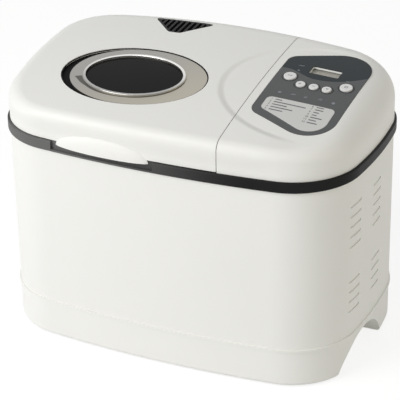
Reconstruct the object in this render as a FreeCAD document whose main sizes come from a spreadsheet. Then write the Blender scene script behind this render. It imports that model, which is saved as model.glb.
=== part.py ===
"""Bread machine: a bowed white casing with a hinged lid, an oven chamber with a
removable pan, a belt-driven kneader and a control housing with push buttons.

The origin is the middle of the footprint on the worktop.
+X points to the control housing, -Y to the front, +Z up. Sizes are in millimetres.
"""
import FreeCAD, Part
import math
import os
import re
import Sketcher

V = FreeCAD.Vector

SIZES = {
    # Plan of the body, measured over the dark band
    "half_width": 176.0,
    "half_depth": 112.0,
    "front_bow": 14.75,
    "side_bow": 14.35,
    "corner_radius": 66.0,
    "band_reach": 2.4,
    "wall": 2.5,
    # Levels
    "skirt_lift": 1.0,
    "skirt_round": 4.0,
    "base_top": 40.0,
    "ridge_height": 2.4,
    "ridge_reach": 1.3,
    "floor_low": 5.0,
    "floor_thick": 3.0,
    "band_low": 199.4,
    "band_height": 10.2,
    "band_width": 10.0,
    "band_round": 1.2,
    "deck": 3.0,
    # Crown of the lid and of the control housing
    "crown_top": 266.0,
    "crest_behind": 13.0,
    "crown_along": 1000.0,
    "crown_across": 2150.0,
    "front_round": 10.0,
    "back_round": 30.0,
    "lid_gap": 0.8,
    "seam_x": 63.0,
    "seam_gap": 0.8,
    # Lip of the lid and the finger recess below it
    "lip_x": -49.5,
    "lip_half": 48.3,
    "lip_low": 206.8,
    "lip_height": 15.8,
    "lip_reach": 3.0,
    "recess_side": 4.0,
    "recess_depth": 3.0,
    "recess_height": 8.0,
    # Lid hinge
    "hinge_y": 97.0,
    "hinge_z": 228.0,
    "hinge_x": -60.0,
    "hinge_half_span": 50.0,
    "hinge_pin": 2.5,
    "ear_width": 8.0,
    "ear_radius": 4.6,
    "ear_foot": 14.0,
    "ear_foot_height": 2.6,
    "cheek": 4.0,
    "cheek_radius": 5.2,
    "rear_slot": 6.5,
    "side_clear": 0.4,
    "run_clear": 0.05,
    # Viewing window
    "window_x": -53.0,
    "window_y": -30.6,
    "window_long": 72.0,
    "window_short": 47.4,
    "ring_shift": 4.2,
    "ring_margin": 5.2,
    "ring_margin_short": 1.4,
    "ring_sunk": 0.9,
    "glass_long": 47.0,
    "glass_short": 31.4,
    "glass_thick": 3.0,
    "glass_sunk": 0.6,
    "ledge": 4.0,
    "seal_width": 5.0,
    "carrier_flange": 6.0,
    "carrier_thick": 4.6,
    "bead": 1.6,
    "bead_proud": 1.0,
    # Metal liner of the lid
    "liner_drop": 12.0,
    "liner_margin": 4.0,
    "liner_low": 2.4,
    "boss_x": 86.0,
    "boss_y": 68.0,
    # Vent grille
    "grille_x": -52.0,
    "grille_back": 83.0,
    "grille_front": 54.0,
    "grille_half_back": 34.0,
    "grille_half_front": 6.0,
    "grille_corner": 4.0,
    "grille_sunk": 0.6,
    "grille_flange": 2.5,
    "grille_flange_thick": 1.5,
    "grille_rim": 2.2,
    "grille_slot": 3.2,
    "grille_pitch": 5.6,
    # Control panel
    "panel_left": 71.5,
    "panel_right": 151.0,
    "panel_left_front": -53.3,
    "panel_left_back": 44.4,
    "panel_right_front": -86.0,
    "panel_right_back": 81.0,
    "panel_small_corner": 12.0,
    "panel_large_corner": 27.0,
    "panel_thick": 0.8,
    "panel_gap": 0.3,
    "panel_x": 111.5,
    "panel_y": 0.0,
    "card_left": 79.0,
    "card_right": 143.5,
    "card_back": -28.0,
    "card_left_front": -46.5,
    "card_right_front": -76.0,
    "card_small_corner": 5.0,
    "card_large_corner": 17.0,
    "card_thick": 0.25,
    "display_x": 112.0,
    "display_y": 28.5,
    "display_width": 28.0,
    "display_depth": 13.0,
    "lens_margin": 2.5,
    "lens_thick": 1.0,
    "lcd_gap": 1.2,
    "lcd_margin": 1.5,
    "big_button": 5.9,
    "small_button": 4.4,
    "big_button_left": -26.5,
    "big_button_right": 27.5,
    "big_button_y": 9.0,
    "small_button_left": -12.5,
    "small_button_pitch": 12.5,
    "small_button_y": -0.7,
    "button_proud": 1.3,
    "button_gap": 0.4,
    "button_travel": 0.8,
    "button_flange": 1.2,
    "button_flange_low": 5.0,
    "button_round": 0.6,
    "button_stem": 1.8,
    "switch_side": 6.0,
    "switch_height": 2.6,
    "switch_plunger": 0.5,
    "switch_gap": 0.3,
    "board_depth": 12.0,
    "board_thick": 1.6,
    "board_width": 68.0,
    "board_length": 92.0,
    "boss": 4.0,
    "post_inset": 13.0,
    "post_y": 78.0,
    "post_right": 158.0,
    "screw": 1.5,
    "screw_bite": 6.0,
    "screw_head": 3.0,
    "screw_head_height": 2.0,
    # Oven chamber
    "chamber_x": -58.0,
    "chamber_length": 200.0,
    "chamber_depth": 168.0,
    "chamber_corner": 40.0,
    "chamber_floor": 52.0,
    "sheet": 0.8,
    "chamber_flange": 4.0,
    # Heating element
    "element_radius": 3.3,
    "element_z": 62.0,
    "element_half_length": 84.0,
    "element_half_depth": 64.0,
    "element_corner": 30.0,
    "element_end_y": 12.0,
    "element_end_bend": 12.0,
    "element_tail": 12.0,
    "insulator": 3.6,
    "insulator_length": 10.0,
    "clip_side": 8.0,
    # Bread pan
    "pan_low": 70.0,
    "pan_high": 185.0,
    "pan_low_half_length": 79.5,
    "pan_low_half_depth": 61.5,
    "pan_draft": 5.0,
    "pan_corner": 30.0,
    "pan_wall": 1.6,
    "rim_reach": 3.0,
    "rim_height": 2.0,
    "collar": 40.0,
    "collar_wall": 3.0,
    "collar_lift": 0.5,
    "lug_width": 9.0,
    "lug_reach": 5.5,
    "lug_height": 4.0,
    "lug_lift": 3.0,
    "lug_clear": 0.8,
    "twist_room": 7.6,
    "socket_clear": 0.4,
    "socket_width": 7.0,
    "socket_height": 10.0,
    # Bail of the pan
    "bail_wire": 2.2,
    "bail_arm": 50.0,
    "bail_corner": 14.0,
    "bail_pivot_drop": 11.0,
    "bail_eye": 5.0,
    "bail_eye_width": 4.4,
    "bail_pin": 2.0,
    "bail_pin_head": 3.6,
    "bail_pin_head_thick": 1.5,
    "bail_clear": 0.8,
    "rest_gap": 3.4,
    # Kneader
    "paddle_shaft": 4.0,
    "paddle_hub": 9.0,
    "paddle_hub_height": 14.0,
    "paddle_reach": 40.0,
    "paddle_blade": 5.0,
    "paddle_blade_height": 22.0,
    "paddle_gap": 1.0,
    "pan_bush": 8.0,
    "pan_bush_flange": 12.0,
    "pan_bush_flange_height": 2.0,
    "pan_bush_drop": 4.0,
    "shaft_seal": 1.2,
    "wing_length": 20.0,
    "wing_width": 5.0,
    "wing_height": 4.0,
    # Drive train
    "chassis_z": 42.0,
    "chassis_thick": 1.6,
    "chassis_left": -143.0,
    "chassis_right": 153.0,
    "chassis_half_depth": 74.0,
    "pillar_x": 136.0,
    "pillar_y": 62.0,
    "pillar": 6.0,
    "spacer": 5.0,
    "spacer_x": 66.0,
    "spacer_y": 50.0,
    "drive_shaft": 5.0,
    "bush_wall": 3.0,
    "bush_length": 7.0,
    "bearing_wall": 8.0,
    "bearing_low": 33.0,
    "bearing_flange": 26.0,
    "bearing_flange_height": 3.0,
    "dog_radius": 11.0,
    "dog_height": 5.0,
    "dog_pin": 2.5,
    "dog_pin_ring": 7.5,
    "dog_gap": 1.0,
    "pulley_low": 13.0,
    "pulley_flange": 2.0,
    "pulley_flange_reach": 3.0,
    "large_pulley": 45.0,
    "small_pulley": 9.0,
    "belt_width": 10.0,
    "belt_thick": 2.0,
    "belt_clear": 0.3,
    "belt_side_clear": 1.0,
    "pulley_hub": 10.0,
    "motor_x": 115.0,
    "motor_length": 76.0,
    "motor_width": 66.0,
    "motor_cap": 9.0,
    "motor_core": 36.0,
    "motor_core_inset": 3.0,
    "motor_bore": 20.6,
    "motor_air_gap": 0.6,
    "motor_shaft": 4.0,
    "motor_hole": 12.0,
    "motor_bolt": 2.0,
    "motor_bolt_inset": 6.0,
    "fan_radius": 26.0,
    "fan_height": 7.0,
    "fan_gap": 1.2,
    "fan_hub": 7.0,
    "fan_blade": 1.6,
    # Electrics
    "capacitor_x": 104.0,
    "capacitor_y": -56.0,
    "capacitor": 15.0,
    "capacitor_length": 52.0,
    "power_board_x": 112.0,
    "power_board_y": 60.0,
    "power_board_length": 76.0,
    "power_board_height": 86.0,
    "transformer_length": 30.0,
    "transformer_reach": 20.0,
    "transformer_height": 26.0,
    "relay_length": 18.0,
    "relay_height": 16.0,
    "relay_reach": 12.0,
    "terminal_x": 60.0,
    "terminal_y": 58.0,
    "terminal_length": 14.0,
    "terminal_width": 26.0,
    "terminal_height": 16.0,
    "probe": 3.0,
    "probe_z": 100.0,
    "probe_inside": 5.0,
    "probe_outside": 9.0,
    "probe_nut": 6.0,
    "loom": 2.5,
    "loom_x": 100.0,
    "loom_y": 20.0,
    "loom_rise": 34.0,
    "loom_bend": 14.0,
    "fuse_z": 130.0,
    "fuse_y": 30.0,
    "fuse_length": 24.0,
    "fuse_height": 9.0,
    "fuse_thick": 5.0,
    "gland_x": 100.0,
    "gland_z": 66.0,
    "gland": 9.0,
    "gland_bore": 4.0,
    "gland_flange": 14.0,
    "gland_flange_thick": 4.0,
    "gland_inside": 8.0,
    # Side vents and lifting hollows
    "vent_length": 20.0,
    "vent_height": 2.4,
    "vent_pitch": 10.2,
    "vent_upper": 131.5,
    "vent_lower": 65.0,
    "vent_front_y": -46.0,
    "vent_back_y": 2.0,
    "hollow_radius": 50.0,
    "hollow_y": -22.0,
    "hollow_z": -17.0,
    "hollow_depth": 22.0,
    # Feet
    "foot_x": 128.0,
    "foot_y": 82.0,
    "foot_radius": 9.0,
}

UPPER_VENT_ROWS = 5
LOWER_VENT_ROWS = 4
GRILLE_SLOTS = 11
FAN_BLADES = 8
PULLEY_HOLES = 6

FRONT_ARC = "((half_width^2 + front_bow^2)/(2*front_bow))"
SIDE_ARC = "((half_depth^2 + side_bow^2)/(2*side_bow))"
BAND_TOP = "(band_low + band_height)"
DECK_LOW = f"({BAND_TOP} - deck)"
FLOOR_TOP = "(floor_low + floor_thick)"
CHASSIS_TOP = "(chassis_z + chassis_thick)"
CREST_Y = "(half_depth + crest_behind)"
BODY_INNER = "(band_reach + wall)"
LID_END = "(seam_x - seam_gap/2)"
HOUSING_END = "(seam_x + seam_gap/2)"
CHAMBER_RIGHT = "(chamber_x + chamber_length/2)"
PULLEY_HEIGHT = "(belt_width + 2*belt_side_clear + 2*pulley_flange)"
PIVOT_Z = "(pan_high - bail_pivot_drop)"
RIM_HALF_LENGTH = "(pan_low_half_length + pan_draft + rim_reach)"
BAIL_X = f"({RIM_HALF_LENGTH} + bail_clear + bail_wire)"
BAIL_RISE = "(bail_pivot_drop + rest_gap + bail_wire)"
SOCKET_BORE = "(collar + socket_clear)"
BEARING_BORE = "(drive_shaft + bush_wall)"
DOG_LOW = "(chamber_floor + dog_gap)"
WING_LOW = f"({DOG_LOW} + dog_height + dog_gap)"
PAN_FLOOR = "(pan_low + pan_wall)"
MOTOR_TOP = f"({CHASSIS_TOP} + 2*motor_cap + motor_core)"

doc = FreeCAD.newDocument("bread_machine")
sheet = doc.addObject("Spreadsheet::Sheet", "Dimensions")
for row, (alias, number) in enumerate(SIZES.items(), 1):
    sheet.set(f"A{row}", alias)
    sheet.set(f"B{row}", str(number))
    sheet.setAlias(f"B{row}", alias)
doc.recompute()

pieces = []


def formula(text):
    """The expression with each word pointed at its cell in the sheet."""
    return re.sub(r"[a-z][a-z_]*[a-z](?![a-z_]*\()", r"Dimensions.\g<0>", str(text))


def size(text):
    """The number that an expression of sheet words gives."""
    return float(sheet.evalExpression(formula(text)))


def bind(thing, **texts):
    """Ties properties to expressions of sheet words."""
    for name, text in texts.items():
        thing.setExpression(name, formula(text))
    return thing


def place(thing, at, rotation=None):
    """Turns a thing and ties its position to three expressions."""
    thing.Placement = FreeCAD.Placement(V(), rotation or FreeCAD.Rotation())
    for axis, text in zip("xyz", at):
        thing.setExpression(f"Placement.Base.{axis}", formula(text))
    return thing


ALONG = {
    "x": FreeCAD.Rotation(V(0, 1, 0), 90),
    "y": FreeCAD.Rotation(V(1, 0, 0), -90),
    "z": FreeCAD.Rotation(),
}


def block(extent, at):
    """A box by its three lengths, and the middle of its underside."""
    length, width, height = extent
    thing = bind(doc.addObject("Part::Box", "Block"), Length=length, Width=width, Height=height)
    x, y, z = at
    return place(thing, (f"{x} - ({length})/2", f"{y} - ({width})/2", z))


def span(low, high):
    """A box from its low corner to its high corner."""
    lengths = [f"({b}) - ({a})" for a, b in zip(low, high)]
    thing = bind(doc.addObject("Part::Box", "Block"), Length=lengths[0], Width=lengths[1], Height=lengths[2])
    return place(thing, low)


def rod(radius, length, at, along="z", turn=0):
    """A cylinder that starts at a point and runs along an axis."""
    thing = bind(doc.addObject("Part::Cylinder", "Rod"), Radius=radius, Height=length)
    return place(thing, at, ALONG[along].multiply(FreeCAD.Rotation(V(0, 0, 1), turn)))


def cone(low_radius, high_radius, length, at, along="z"):
    """A cone frustum that starts at a point and runs along an axis."""
    thing = bind(doc.addObject("Part::Cone", "Taper"), Radius1=low_radius, Radius2=high_radius, Height=length)
    return place(thing, at, ALONG[along])


def join(*things):
    """One solid out of several that overlap."""
    thing = doc.addObject("Part::MultiFuse", "Join")
    thing.Shapes = list(things)
    return thing


def overlap(*things):
    """What all the things share."""
    thing = doc.addObject("Part::MultiCommon", "Overlap")
    thing.Shapes = list(things)
    return thing


def group(*things):
    """Separate solids kept together."""
    thing = doc.addObject("Part::Compound", "Group")
    thing.Links = list(things)
    return thing


def cut(base, *tools):
    """The base with the tools taken away."""
    thing = doc.addObject("Part::Cut", "Cut")
    thing.Base = base
    thing.Tool = tools[0] if len(tools) == 1 else join(*tools)
    return thing


def rounded(base, radius, chosen):
    """Rounds the edges of the base that the test chooses."""
    doc.recompute()
    edges = [i for i, edge in enumerate(base.Shape.Edges, 1) if chosen(edge)]
    reach = size(radius)
    thing = doc.addObject("Part::Fillet", "Rounding")
    thing.Base = base
    thing.Edges = [(i, reach, reach) for i in edges]
    return thing


def upright(edge):
    """True for an edge that runs up a wall, straight or leaning."""
    first, last = edge.firstVertex().Point, edge.lastVertex().Point
    return abs(last.z - first.z) > 4 * math.hypot(last.x - first.x, last.y - first.y)


def leaning(edge):
    """True for an edge that climbs more than it runs."""
    first, last = edge.firstVertex().Point, edge.lastVertex().Point
    return abs(last.z - first.z) > 2 * math.hypot(last.x - first.x, last.y - first.y)


def piece(name, thing):
    """Names a finished sub-part, which is written to its own file."""
    thing.Label = name
    pieces.append(thing)
    return thing


def sketch(corners):
    """A closed outline of straight lines, each corner tied to two expressions."""
    outline = doc.addObject("Sketcher::SketchObject", "Outline")
    points = [V(size(x), size(y), 0) for x, y in corners]
    for start, end in zip(points, points[1:] + points[:1]):
        outline.addGeometry(Part.LineSegment(start, end), False)
    count = len(points)
    for i in range(count):
        outline.addConstraint(Sketcher.Constraint("Coincident", i, 2, (i + 1) % count, 1))
    for i, (x, y) in enumerate(corners):
        across = outline.addConstraint(Sketcher.Constraint("DistanceX", -1, 1, i, 1, points[i].x))
        along = outline.addConstraint(Sketcher.Constraint("DistanceY", -1, 1, i, 1, points[i].y))
        outline.setExpression(f"Constraints[{across}]", formula(x))
        outline.setExpression(f"Constraints[{along}]", formula(y))
    return outline


def extrude(outline, low, height):
    """A flat outline raised into a solid."""
    thing = doc.addObject("Part::Extrusion", "Prism")
    thing.Base = outline
    thing.DirMode = "Custom"
    thing.Dir = V(0, 0, 1)
    thing.Solid = True
    bind(thing, LengthFwd=height)
    return place(thing, ("0", "0", low))


def oval(long_half, short_half, at, low, height):
    """An upright prism with an elliptical outline."""
    outline = doc.addObject("Part::Ellipse", "Oval")
    bind(outline, MajorRadius=long_half, MinorRadius=short_half)
    place(outline, (at[0], at[1], "0"))
    return extrude(outline, low, height)


def rounded_block(extent, at, corner):
    """A box with its upright edges rounded."""
    return rounded(block(extent, at), corner, upright)


def frustum(low_half, high_half, at, height):
    """A box that widens upwards, by its half sizes at the bottom and at the top."""
    thing = doc.addObject("Part::Wedge", "Frustum")
    bind(
        thing,
        Xmin=f"-({low_half[0]})", Xmax=low_half[0], Zmin=f"-({low_half[1]})", Zmax=low_half[1],
        X2min=f"-({high_half[0]})", X2max=high_half[0], Z2min=f"-({high_half[1]})", Z2max=high_half[1],
        Ymin="0", Ymax=height,
    )
    return place(thing, at, FreeCAD.Rotation(V(1, 0, 0), 90))


def envelope(inset, low, height):
    """The bowed body: the overlap of four wide cylinders, with its upright edges rounded."""
    front = f"{FRONT_ARC} - ({inset})"
    side = f"{SIDE_ARC} - ({inset})"
    walls = (
        rod(front, height, ("0", f"{FRONT_ARC} - half_depth", low)),
        rod(front, height, ("0", f"half_depth - {FRONT_ARC}", low)),
        rod(side, height, (f"{SIDE_ARC} - half_width", "0", low)),
        rod(side, height, (f"half_width - {SIDE_ARC}", "0", low), turn=180),
    )
    return rounded(overlap(*walls), f"corner_radius - ({inset})", upright)


def crown(offset):
    """The ring whose outer surface is the crown, sunk by an offset. Its crest lies behind the back wall."""
    thing = doc.addObject("Part::Torus", "Crown")
    bind(thing, Radius1="crown_across - crown_along", Radius2=f"crown_along - ({offset})")
    turned = FreeCAD.Rotation(V(0, 0, -1), V(-1, 0, 0), V(0, 1, 0), "ZXY")
    return place(thing, ("0", CREST_Y, "crown_top - crown_across"), turned)


def domed(inset, offset):
    """The body raised to the crown, its top edge rounded little at the front and more at the back."""
    tall = overlap(envelope(inset, "band_low", "crown_top"), crown(offset))
    doc.recompute()
    top = next(face for face in tall.Shape.Faces if isinstance(face.Surface, Part.Toroid))
    front_reach = size(f"front_round - ({offset})")
    back_reach = size(f"back_round - ({offset})")
    depth = size("half_depth")
    edges = []
    for i, edge in enumerate(tall.Shape.Edges, 1):
        if any(edge.isSame(other) for other in top.Edges):
            ends = [(vertex.Point.y + depth) / (2 * depth) for vertex in edge.Vertexes]
            reaches = [front_reach + (back_reach - front_reach) * share for share in ends]
            edges.append((i, reaches[0], reaches[-1]))
    thing = doc.addObject("Part::Fillet", "Rounding")
    thing.Base = tall
    thing.Edges = edges
    return thing


def crown_normal_frame(x, y):
    """The frame on the crown above a point of the plan, with its Z along the surface normal."""
    along, across = size("crown_along"), size("crown_across")
    lean = math.asin((size(y) - size(CREST_Y)) / along)
    ring = across - along + along * math.cos(lean)
    roll = math.asin(size(x) / ring)
    base = V(size(x), size(y), size("crown_top") - across + ring * math.cos(roll))
    turn = FreeCAD.Rotation(V(0, 1, 0), math.degrees(roll))
    return FreeCAD.Placement(base, turn.multiply(FreeCAD.Rotation(V(1, 0, 0), -math.degrees(lean))))


def path(stops):
    """Straight lines through points, each turn an arc of its own radius that touches both lines."""
    edges = []
    start = stops[0][0]
    for (before, _), (middle, radius), (after, _) in zip(stops, stops[1:], stops[2:]):
        back = (before - middle).normalize()
        ahead = (after - middle).normalize()
        half = back.getAngle(ahead) / 2
        reach = radius / math.tan(half)
        bisector = (back + ahead).normalize()
        centre = middle + bisector * (radius / math.sin(half))
        enter, leave = middle + back * reach, middle + ahead * reach
        edges.append(Part.makeLine(start, enter))
        edges.append(Part.Arc(enter, centre - bisector * radius, leave).toShape())
        start = leave
    edges.append(Part.makeLine(start, stops[-1][0]))
    return Part.Wire(edges)


def pipe(wire, radius):
    """A round bar carried along a path."""
    start = wire.Edges[0]
    section = Part.Wire(Part.makeCircle(size(radius), start.Vertexes[0].Point,
                                        start.tangentAt(start.FirstParameter)))
    thing = doc.addObject("Part::Feature", "Pipe")
    thing.Shape = wire.makePipeShell([section], True, True)
    return thing


def screws(places, length):
    """Pan-head screws at points, each a head with a shank that points up."""
    made = []
    for x, y, seat in places:
        head = rod("screw_head", "screw_head_height", (x, y, f"{seat} - screw_head_height"))
        made.append(join(head, rod("screw", length, (x, y, seat))))
    return group(*made)


def corners_of(x, y, x_reach, y_reach):
    """The four plan points round a middle."""
    return [(f"{x} + {a}*{x_reach}", f"{y} + {b}*{y_reach}") for a in (-1, 1) for b in (-1, 1)]


PILLARS = corners_of("0", "0", "pillar_x", "pillar_y")
PANEL_OUTLINE = [
    ("panel_left", "panel_left_front"),
    ("panel_right", "panel_right_front"),
    ("panel_right", "panel_right_back"),
    ("panel_left", "panel_left_back"),
]
CARD_OUTLINE = [
    ("card_left", "card_left_front"),
    ("card_right", "card_right_front"),
    ("card_right", "card_back"),
    ("card_left", "card_back"),
]
HINGES = ("(hinge_x - hinge_half_span)", "(hinge_x + hinge_half_span)")
BIG_BUTTONS = {
    "left_button": ("big_button_left", "big_button_y", "big_button"),
    "right_button": ("big_button_right", "big_button_y", "big_button"),
}
SMALL_BUTTONS = {
    name: (f"small_button_left + {i}*small_button_pitch", "small_button_y", "small_button")
    for i, name in enumerate(("first_key", "second_key", "third_key"))
}
BUTTONS = {**BIG_BUTTONS, **SMALL_BUTTONS}
GLASS_TOP = "(ring_sunk + glass_sunk)"
GLASS_LOW = f"({GLASS_TOP} + glass_thick)"
CARRIER_LOW = "(wall + carrier_thick)"
TALL = f"(crown_top - {BAND_TOP} + wall)"
NOTCH = "(ear_width/2 + cheek + 3*side_clear)"
LIP_THICK = f"({BODY_INNER} + lip_reach)"
LIP_SINE = f"(lip_x/{FRONT_ARC})"
LIP_SWING = f"({FRONT_ARC} - {BODY_INNER})"
LIP_Y = f"({FRONT_ARC} - half_depth - {LIP_SWING}*sqrt(1 - {LIP_SINE}^2))"
LIP_FRONT = f"(sqrt((lip_half*{LIP_SINE})^2 + {LIP_THICK}^2*(1 - {LIP_SINE}^2)) - {LIP_Y})"
HUB_LOW = f"({PAN_FLOOR} + pan_bush_flange_height + shaft_seal + paddle_gap)"
SCREW_HOLE = "(screw + run_clear)"
POSTS = [
    ("seam_x + post_inset", "-post_y"),
    ("seam_x + post_inset", "post_y"),
    ("post_right", "0"),
]

crowns = {}


def crown_at(offset):
    """The crown sunk by an offset, made once for each offset."""
    if offset not in crowns:
        crowns[offset] = crown(offset)
    return crowns[offset]


def layer(outline, upper, lower):
    """The stretch of an upright prism between two sinkings of the crown."""
    return cut(overlap(outline, crown_at(upper)), crown_at(lower))


def tall_oval(long_half, short_half, x="window_x"):
    """An elliptical prism round the window, from the band to above the crown."""
    return oval(long_half, short_half, (x, "window_y"), BAND_TOP, TALL)


def tall_outline(corners, radii):
    """A prism from the band to above the crown, each upright edge rounded by the radius of its corner."""
    base = extrude(sketch(corners), BAND_TOP, TALL)
    doc.recompute()
    points = [V(size(x), size(y), 0) for x, y in corners]
    edges = []
    for i, edge in enumerate(base.Shape.Edges, 1):
        if upright(edge):
            foot = edge.firstVertex().Point
            gaps = [math.hypot(foot.x - p.x, foot.y - p.y) for p in points]
            reach = size(radii[gaps.index(min(gaps))])
            edges.append((i, reach, reach))
    thing = doc.addObject("Part::Fillet", "Rounding")
    thing.Base = base
    thing.Edges = edges
    return thing


def grown_grille(grow):
    """The grille's outline, moved outwards by a distance on every side."""
    slope = "((grille_half_back - grille_half_front)/(grille_back - grille_front))"
    slant = f"sqrt(1 + {slope}^2)"
    back_half = f"(grille_half_back + ({grow})*({slant} + {slope}))"
    front_half = f"(grille_half_front + ({grow})*({slant} - {slope}))"
    corners = [
        (f"grille_x - {back_half}", f"grille_back + ({grow})"),
        (f"grille_x - {front_half}", f"grille_front - ({grow})"),
        (f"grille_x + {front_half}", f"grille_front - ({grow})"),
        (f"grille_x + {back_half}", f"grille_back + ({grow})"),
    ]
    return tall_outline(corners, ["grille_corner"] * len(corners))


def at_level(level):
    """A test for flat edges at one height."""
    height = size(level)
    return lambda edge: abs(edge.BoundBox.ZMin - height) < 0.01 and abs(edge.BoundBox.ZMax - height) < 0.01


def make_base():
    """The base tray with its ridge, lifting hollows and pillars, and its rubber feet."""
    skirt = envelope("band_reach", "skirt_lift", "base_top - skirt_lift")
    skirt = rounded(skirt, "skirt_round", at_level("skirt_lift"))
    ridge = envelope("band_reach - ridge_reach", "base_top - ridge_height", "ridge_height")
    above = envelope(BODY_INNER, FLOOR_TOP, "base_top")
    below = envelope(BODY_INNER, "0", "floor_low")
    depth = "(hollow_depth + wall)"
    hollows = []
    housings = []
    for start in ("half_width - hollow_depth", "-half_width"):
        hollows.append(rod("hollow_radius", "hollow_depth", (start, "hollow_y", "hollow_z"), "x"))
    for start in (f"half_width - {depth}", "-half_width"):
        shell = rod("hollow_radius + wall", depth, (start, "hollow_y", "hollow_z"), "x")
        housings.append(overlap(shell, skirt))
    pillars = [rod("pillar", "chassis_z - floor_low", (x, y, "floor_low")) for x, y in PILLARS]
    bores = [rod(SCREW_HOLE, "chassis_z", (x, y, "0")) for x, y in PILLARS]
    tray = join(cut(join(skirt, ridge), above, below), *housings, *pillars)
    piece("base_tray", cut(tray, *hollows, *bores))
    feet = [rod("foot_radius", "floor_low", (x, y, "0")) for x, y in corners_of("0", "0", "foot_x", "foot_y")]
    piece("rubber_feet", group(*feet))


def make_casing():
    """The bowed wall of the body with its side vents, and the gland where the mains lead leaves it."""
    outer = envelope("band_reach", "base_top", "band_low - base_top")
    inner = envelope(BODY_INNER, "base_top - wall", "band_low - base_top + 2*wall")
    slots = []
    for y in ("vent_front_y", "vent_back_y"):
        for low, rows in (("vent_upper", UPPER_VENT_ROWS), ("vent_lower", LOWER_VENT_ROWS)):
            for i in range(rows):
                z = f"{low} + {i}*vent_pitch"
                near = (f"half_width - {BODY_INNER} - side_bow", f"{y} - vent_length/2",
                        f"{z} - vent_height/2")
                far = ("half_width", f"{y} + vent_length/2", f"{z} + vent_height/2")
                slots.append(span(near, far))
    hole = rod("gland + run_clear", "half_depth", ("gland_x", "0", "gland_z"), "y")
    piece("outer_casing", cut(outer, inner, group(*slots), hole))
    face = f"(half_depth - band_reach - gland_x^2/(2*{FRONT_ARC}))"
    collar = rod("gland_flange", "gland_flange_thick + front_bow",
                 ("gland_x", f"{face} - front_bow", "gland_z"), "y")
    flange = cut(collar, envelope("band_reach", "base_top", "band_low - base_top"))
    nose = cone("gland_flange", "gland", f"{LIP_FRONT} - {face} - gland_flange_thick",
                ("gland_x", f"{face} + gland_flange_thick", "gland_z"), "y")
    sleeve = rod("gland", "gland_inside + wall + gland_flange_thick",
                 ("gland_x", f"{face} - wall - gland_inside", "gland_z"), "y")
    bore = rod("gland_bore", "2*half_depth", ("gland_x", "0", "gland_z"), "y")
    piece("cord_gland", cut(join(flange, nose, sleeve), bore))


def make_top_frame():
    """The dark frame: the band between casing and lid, the deck round the oven, and the hinge ears."""
    band = envelope("0", "band_low", "band_height")
    band = rounded(band, "band_round", lambda edge: at_level("band_low")(edge) or at_level(BAND_TOP)(edge))
    under = envelope("band_width", "band_low - deck", "band_height")
    opening = rounded_block(("chamber_length", "chamber_depth", "4*deck"),
                            ("chamber_x", "0", f"{DECK_LOW} - deck"),
                            "chamber_corner")
    service = block(("board_width", "board_length", "4*deck"), ("panel_x", "panel_y", f"{DECK_LOW} - deck"))
    reach = "(lip_half + recess_side)"
    front = span((f"lip_x - {reach}", "-2*half_depth", f"{BAND_TOP} - recess_height"),
                 (f"lip_x + {reach}", "0", f"{BAND_TOP} + deck"))
    recess = cut(front, envelope("recess_depth", "band_low", "2*band_height"))
    holes = [rod(SCREW_HOLE, "4*deck", (x, y, f"{DECK_LOW} - deck")) for x, y in POSTS]
    ears = []
    for x in HINGES:
        foot = block(("ear_width + 2*cheek", "ear_foot", "ear_foot_height + deck"), (x, "hinge_y", DECK_LOW))
        stem = block(("ear_width", "2*ear_radius", f"hinge_z - {DECK_LOW}"), (x, "hinge_y", DECK_LOW))
        eye = rod("ear_radius", "ear_width", (f"{x} - ear_width/2", "hinge_y", "hinge_z"), "x")
        ears.extend((foot, stem, eye))
    pin_hole = rod("hinge_pin + run_clear", "2*half_width", ("-half_width", "hinge_y", "hinge_z"), "x")
    plate = cut(band, under, opening, service, recess, *holes)
    piece("top_frame", cut(join(plate, *ears), pin_hole))
    length = "(ear_width + 2*side_clear + 2*cheek)"
    pins = [rod("hinge_pin", length, (f"{x} - {length}/2", "hinge_y", "hinge_z"), "x") for x in HINGES]
    piece("hinge_pins", group(*pins))


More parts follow.
